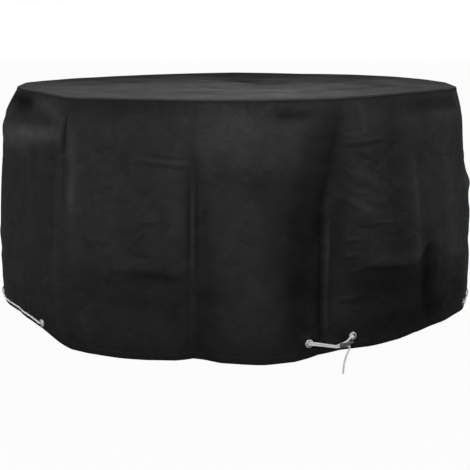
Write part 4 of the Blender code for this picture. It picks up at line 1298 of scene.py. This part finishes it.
@dataclass
class SkirtPanel:
    """One sewn length of the skirt, from one bearing to another.

    Attributes:
        name: Name of the piece.
        form: Form of the skirt.
        start: First bearing.
        end: Last bearing.
        pitch: Distance between columns of points, degrees.
        material: Its material.
    """

    name: str
    form: SkirtForm
    start: float
    end: float
    pitch: float
    material: Material

    SEAMS = (-38.4, -8.2, 17.6, 96.5, 152.2, 209.2, 266.4)
    SEAM_REACH = 1.4
    SEAM_PITCH = 0.18
    LEAST_PITCH = 0.08
    # Shares of the way from rim to hem: rows at the rim, first and last even row, rows at the hem
    RIM_ROWS, MIDDLE_ROWS, HEM_ROWS = (0.0, 0.004, 0.009), (0.016, 0.985, 164), (0.992, 0.997, 1.0)

    def bearings(self) -> np.ndarray:
        """Bearings of the columns: closer beside the narrow seams."""
        result = [self.start]
        while result[-1] < self.end - 1e-6:
            here = result[-1]
            near = any(abs((here - seam + 180.0) % 360.0 - 180.0) < self.SEAM_REACH for seam in self.SEAMS)
            result.append(min(self.end, here + (self.SEAM_PITCH if near else self.pitch)))
        if result[-1] - result[-2] < self.LEAST_PITCH:
            result.pop(-2)
        return np.array(result)

    def build(self) -> None:
        """Make the cloth, give it thickness and cut the eyelet holes."""
        share = np.concatenate([self.RIM_ROWS, np.linspace(*self.MIDDLE_ROWS), self.HEM_ROWS])
        bearing, share = np.meshgrid(self.bearings(), share, indexing="ij")
        top, low = self.form.rim(bearing) - SEAT_GAP, self.form.hem(bearing)
        height = top + (low - top) * share
        radius = self.form.radius(bearing, height)
        angle = np.radians(bearing)
        points = np.stack([radius * np.sin(angle), -radius * np.cos(angle), height], axis=-1)
        faces = grid_faces(np.arange(bearing.size).reshape(bearing.shape))
        piece = mesh_object(self.name, points.reshape(-1, 3), faces)
        across = 0.001 * self.form.ACROSS * bearing
        for label, up in (("cloth", height), ("edges", height - low)):
            lay_uv(piece, label, np.stack([across, up], axis=-1).reshape(-1, 2))
        # Painted shade in the folds' troughs and painted light on their ridges, with painted darker bands at the hem
        # and under the rim
        mark_painted_shade(piece, self.form.hollow(bearing, height))
        thicken(piece, CLOTH_THICKNESS)
        self.punch(piece)
        piece.data.shade_smooth()
        dress(piece, self.material, ["wall_panel"])

    def punch(self, piece: Object) -> None:
        """Cut the holes of the eyelets that sit on this length."""
        cutters = []
        for (bearing, _), centre in zip(EYELETS, self.form.eyelets):
            if self.start + (bearing - self.start) % 360.0 > self.end:
                continue
            bpy.ops.mesh.primitive_cylinder_add(vertices=40, radius=EYELET_HOLE, depth=0.06)
            cutters.append(bpy.context.object)
            settle(cutters[-1], LacePlan.eyelet_frame(bearing, centre))
        for cutter in cutters:
            cutter.select_set(True)
        if len(cutters) > 1:
            bpy.ops.object.join()
        cut_away(piece, bpy.context.object)


@dataclass
class TopCloth:
    """The sagging round top with its wrinkles, lapped over the skirt's upper edge."""

    form: SkirtForm
    material: Material

    SIDE = 132
    LIFT = 0.0010
    THICKNESS = 0.8 * CLOTH_THICKNESS
    # Painted shade and light of the top: how strongly its wrinkles are painted lighter and darker, and its painted
    # shade growing towards the back over a length
    HOLLOW_RATE, BACK_START, BACK_LENGTH, BACK_RATE = 80.0, -0.2, 1.05, 0.85
    SHADE_LIMITS = (0.3, 1.8)
    # Lap over the rim: outward from the skirt's middle, below the rim, metres
    LAP = ((0.0012, 0.0006), (0.0020, -0.0012), (0.0019, -0.0034), (0.0018, -0.0058))
    # Seeded wrinkles, millimetres; every third one lies at any angle and is wide
    SEED, COUNT, REACH, HEIGHT = 23, 340, 800.0, 2.4
    LENGTHS, WIDTHS, WIDER, BOW = (70.0, 260.0), (11.0, 26.0), 2.4, 0.1
    # Mean and spread of the slant, least share of the height, share of sharp creases
    SLANT, LEAST, SHARP = (0.06, 0.35), 0.3, 0.6

    def wrinkles(self) -> list[Fold]:
        """Seeded small wrinkles of the flat top, in millimetres."""
        drawn = []
        source = np.random.default_rng(self.SEED)
        for number in range(self.COUNT):
            radius, turn = self.REACH * math.sqrt(source.uniform(0.0, 1.0)), source.uniform(0.0, math.tau)
            x, y = radius * math.sin(turn), radius * math.cos(turn)
            angle = source.normal(*self.SLANT) if number % 3 else source.uniform(0.0, math.pi)
            half = 0.5 * source.uniform(*self.LENGTHS)
            run, rise = half * math.cos(angle), half * math.sin(angle)
            height = source.uniform(self.LEAST, 1.0) * source.choice((-self.HEIGHT, self.HEIGHT))
            shape = CREASE if source.random() < self.SHARP else SOFT
            wide = source.uniform(*self.WIDTHS) * (1.0 if number % 3 else self.WIDER)
            drawn.append(Fold(SOFT if wide > self.WIDTHS[1] else shape, (x - run, y - rise), (x + run, y + rise),
                              wide, height, source.uniform(-self.BOW, self.BOW) * half))
        return drawn

    @staticmethod
    def drawn(folds: Iterable[Fold], x: np.ndarray, y: np.ndarray, share: np.ndarray) -> np.ndarray:
        """Lift of the cloth by some folds, which die out at the rim, metres."""
        total = np.zeros_like(share)
        for fold in folds:
            total += fold.offset(1000.0 * x, 1000.0 * y)
        return 0.001 * total * (1.0 - share ** 6) * np.minimum(1.0, 6.0 * share)

    def build(self) -> None:
        """Map a square grid to the round top, lap its edge and give it thickness."""
        count = self.SIDE + 1
        line = np.linspace(-1.0, 1.0, count)
        u, v = np.meshgrid(line, line, indexing="ij")
        x, y = u * np.sqrt(1.0 - 0.5 * v * v), v * np.sqrt(1.0 - 0.5 * u * u)
        share = np.clip(np.hypot(x, y), 0.0, 1.0)
        bearing = np.degrees(np.arctan2(x, -y))
        edge = self.form.rim(bearing)
        reach = self.form.radius(bearing, edge)
        x, y = reach * x, reach * y
        wrinkles = self.drawn(self.wrinkles(), x, y, share)
        waves = [Fold(SOFT, row[:2], row[2:4], *row[4:]) for row in TOP_FOLDS]
        sag = TOP_RIM_MEAN * share ** TOP_SAG_POWER + (edge - TOP_RIM_MEAN) * share ** TOP_EDGE_POWER
        z = sag + wrinkles + self.drawn(waves, x, y, share) + self.LIFT
        points = [tuple(point) for point in np.stack([x, y, z], axis=-1).reshape(-1, 3)]
        index = np.arange(count * count).reshape(count, count)
        faces = grid_faces(index, turned=True)
        before = [*index[:-1, 0], *index[-1, :-1], *index[:0:-1, -1], *index[0, :0:-1]]
        bare = bearing.reshape(-1)[before]
        rim = self.form.rim(bare)
        for outward, lift in self.LAP:
            radius = self.form.radius(bare, np.minimum(rim, rim + lift)) + outward
            ring = list(range(len(points), len(points) + len(bare)))
            points += [tuple(on_cover(turn, far, level + lift + (self.LIFT if lift > 0 else 0.0)))
                       for turn, far, level in zip(bare, radius, rim)]
            faces += zip(before, ring, ring[1:] + ring[:1], before[1:] + before[:1])
            before = ring
        place = np.array(points)
        piece = mesh_object("top_panel_cloth", place, faces)
        lay_uv(piece, "cloth", place[:, :2])
        turn = np.degrees(np.arctan2(place[:, 0], -place[:, 1]))
        inset = self.form.radius(turn, self.form.rim(turn)) - np.hypot(place[:, 0], place[:, 1])
        lay_uv(piece, "edges", np.stack([np.radians(turn) * 0.85, inset], axis=-1))
        # Painted light and shade on the wrinkles and painted shade towards the back; the lap rings keep their plain
        # colour
        shade = np.ones(len(place))
        depth = np.clip((y - self.BACK_START) / self.BACK_LENGTH, 0.0, 1.0)
        rate = self.HOLLOW_RATE * wrinkles - self.BACK_RATE * depth ** 2
        shade[:wrinkles.size] = np.clip(np.exp(rate), *self.SHADE_LIMITS).reshape(-1)
        mark_painted_shade(piece, shade)
        thicken(piece, self.THICKNESS)
        face_out(piece)
        piece.data.shade_smooth()
        dress(piece, self.material, ["top_panel"])


# Stage ----
class Stage:
    """Camera, floor, lights and background."""

    # name, place, aim, size, power
    LAMPS = (
        ("front", (0.0, -4.2, 3.6), (0.0, 0.0, -0.3), 2.2, 120.0),
        ("left_low", (-4.5, -3.0, 0.6), (0.0, 0.0, -0.3), 1.6, 43.0),
        ("right_side", (3.6, -1.6, 1.2), (0.0, 0.0, -0.3), 1.8, 20.0),
        ("back", (0.0, 3.6, 4.6), (0.0, 0.4, -0.3), 2.4, 70.0),
        ("top", (0.0, -0.42, 0.95), (0.0, -0.52, 0.0), 0.8, 15.0),
    )
    WHITE = (1.0, 1.0, 1.0, 1.0)
    FLOOR_FINISH = {"Base Color": (0.25, 0.25, 0.25, 1.0), "Roughness": 0.9, "Specular IOR Level": 0.1}

    @staticmethod
    def link(data: Any, place: Sequence[float], turn: Any) -> Object:
        """New linked object for a camera or a lamp."""
        item = bpy.data.objects.new(data.name, data)
        item.location = place
        item.rotation_euler = turn
        bpy.context.scene.collection.objects.link(item)
        return item

    def camera(self) -> None:
        """Place the camera at the photograph's angle."""
        data = bpy.data.cameras.new("camera")
        data.lens = CAMERA_LENS
        data.sensor_width = 36.0
        data.shift_x = CAMERA_SHIFT
        data.clip_end = 200.0
        bpy.context.scene.camera = self.link(data, CAMERA_PLACE, (math.radians(90.0 - CAMERA_PITCH), 0.0, 0.0))

    @staticmethod
    def veil(sketch: NodeSketch, plain: Node, white: Node, output: str, share: float) -> None:
        """Show the camera a share of a white shader over the plain one that every other ray meets."""
        seen = sketch.math("MULTIPLY", sketch.add("ShaderNodeLightPath").outputs["Is Camera Ray"], share)
        mix = sketch.add("ShaderNodeMixShader", {0: seen, 1: plain.outputs[0], 2: white.outputs[0]})
        sketch.feed(sketch.tree.nodes[output], {"Surface": mix.outputs[0]})

    def floor(self) -> None:
        """Lay a plain pale floor."""
        bpy.ops.object.select_all(action="DESELECT")
        bpy.ops.mesh.primitive_plane_add(size=FLOOR_SIZE, location=(0.0, 0.0, FLOOR_LEVEL))
        item = bpy.context.object
        item.name = item.data.name = "floor"
        material = bpy.data.materials.new("floor_pale")
        material.use_nodes = True
        shader = material.node_tree.nodes["Principled BSDF"]
        sketch = NodeSketch(material.node_tree)
        sketch.feed(shader, self.FLOOR_FINISH)
        glow = sketch.add("ShaderNodeEmission", {"Color": self.WHITE, "Strength": 1.0})
        self.veil(sketch, shader, glow, "Material Output", FLOOR_GLOW)
        item.data.materials.append(material)

    def lights(self) -> None:
        """Hang the soft lamps and set the background: white to the camera, dim to the cloth."""
        for name, place, aim, size, power in self.LAMPS:
            data = bpy.data.lights.new(name, "AREA")
            data.shape = "SQUARE"
            data.size = size
            data.energy = power
            self.link(data, place, (Vector(aim) - Vector(place)).to_track_quat("-Z", "Y").to_euler())
        world = bpy.data.worlds.new("studio")
        world.use_nodes = True
        seen = world.node_tree.nodes["Background"]
        sketch = NodeSketch(world.node_tree)
        sketch.feed(seen, {"Color": self.WHITE, "Strength": 1.0})
        dim = sketch.add("ShaderNodeBackground", {"Color": self.WHITE, "Strength": WORLD_GLOW})
        self.veil(sketch, dim, seen, "World Output", 1.0)
        bpy.context.scene.world = world

    def colours(self) -> None:
        """Show colours plainly."""
        view = bpy.context.scene.view_settings
        view.view_transform = "Standard"
        view.look = "None"


# Order of work ----
def write_size() -> None:
    """Make a helper that gives a box as plain lists; nothing is written."""
    def plain(box: Sequence) -> list[list[float]]:
        """Box as plain lists."""
        return [[float(part) for part in corner] for corner in box]


def main() -> None:
    """Set the stage, lay the cords, then build cloth, eyelets and slider."""
    logging.basicConfig(level=logging.INFO, format="%(name)s: %(message)s")
    stage = Stage()
    stage.camera()
    skirt = SkirtForm(Crinkles())
    plan = LacePlan(skirt)
    effects = Effects()
    cord = BraidedCord("braided_cord", (0.93, 0.93, 0.91), 0.80, 0.3).build(effects)
    for laced in (LooseEnd, Lace, StopKnot):
        laced(plan, cord).build()
    stage.floor()
    stage.lights()
    stage.colours()
    wall = CoatedCloth("coated_cloth_wall", (0.0215, 0.0219, 0.0228), 0.55, 0.12, 0.022).build(effects)
    # The top is the wall's cloth painted about twice as light, with no specular, as a painted sheen
    top = CoatedCloth("coated_cloth_top_painted_sheen", (0.0425, 0.043, 0.044), 0.80, 0.0, 0.006, mottle=0.28).build(effects)
    TopCloth(skirt, top).build()
    for name, start, end, pitch in PANELS:
        SkirtPanel(name, skirt, start, end, pitch, wall).build()
    metal = PressedMetal("pressed_metal", (0.90, 0.90, 0.90), 0.42, 0.5).build(effects)
    for number, place in enumerate(plan.eyelets, start=1):
        Eyelet(number, place, metal).build()
    plastic = MouldedPlastic("moulded_plastic", (0.120, 0.123, 0.129), 0.5, 0.4).build(effects)
    CordSlider(plan, plastic).build()
    write_size()


if __name__ == "__main__":
    main()
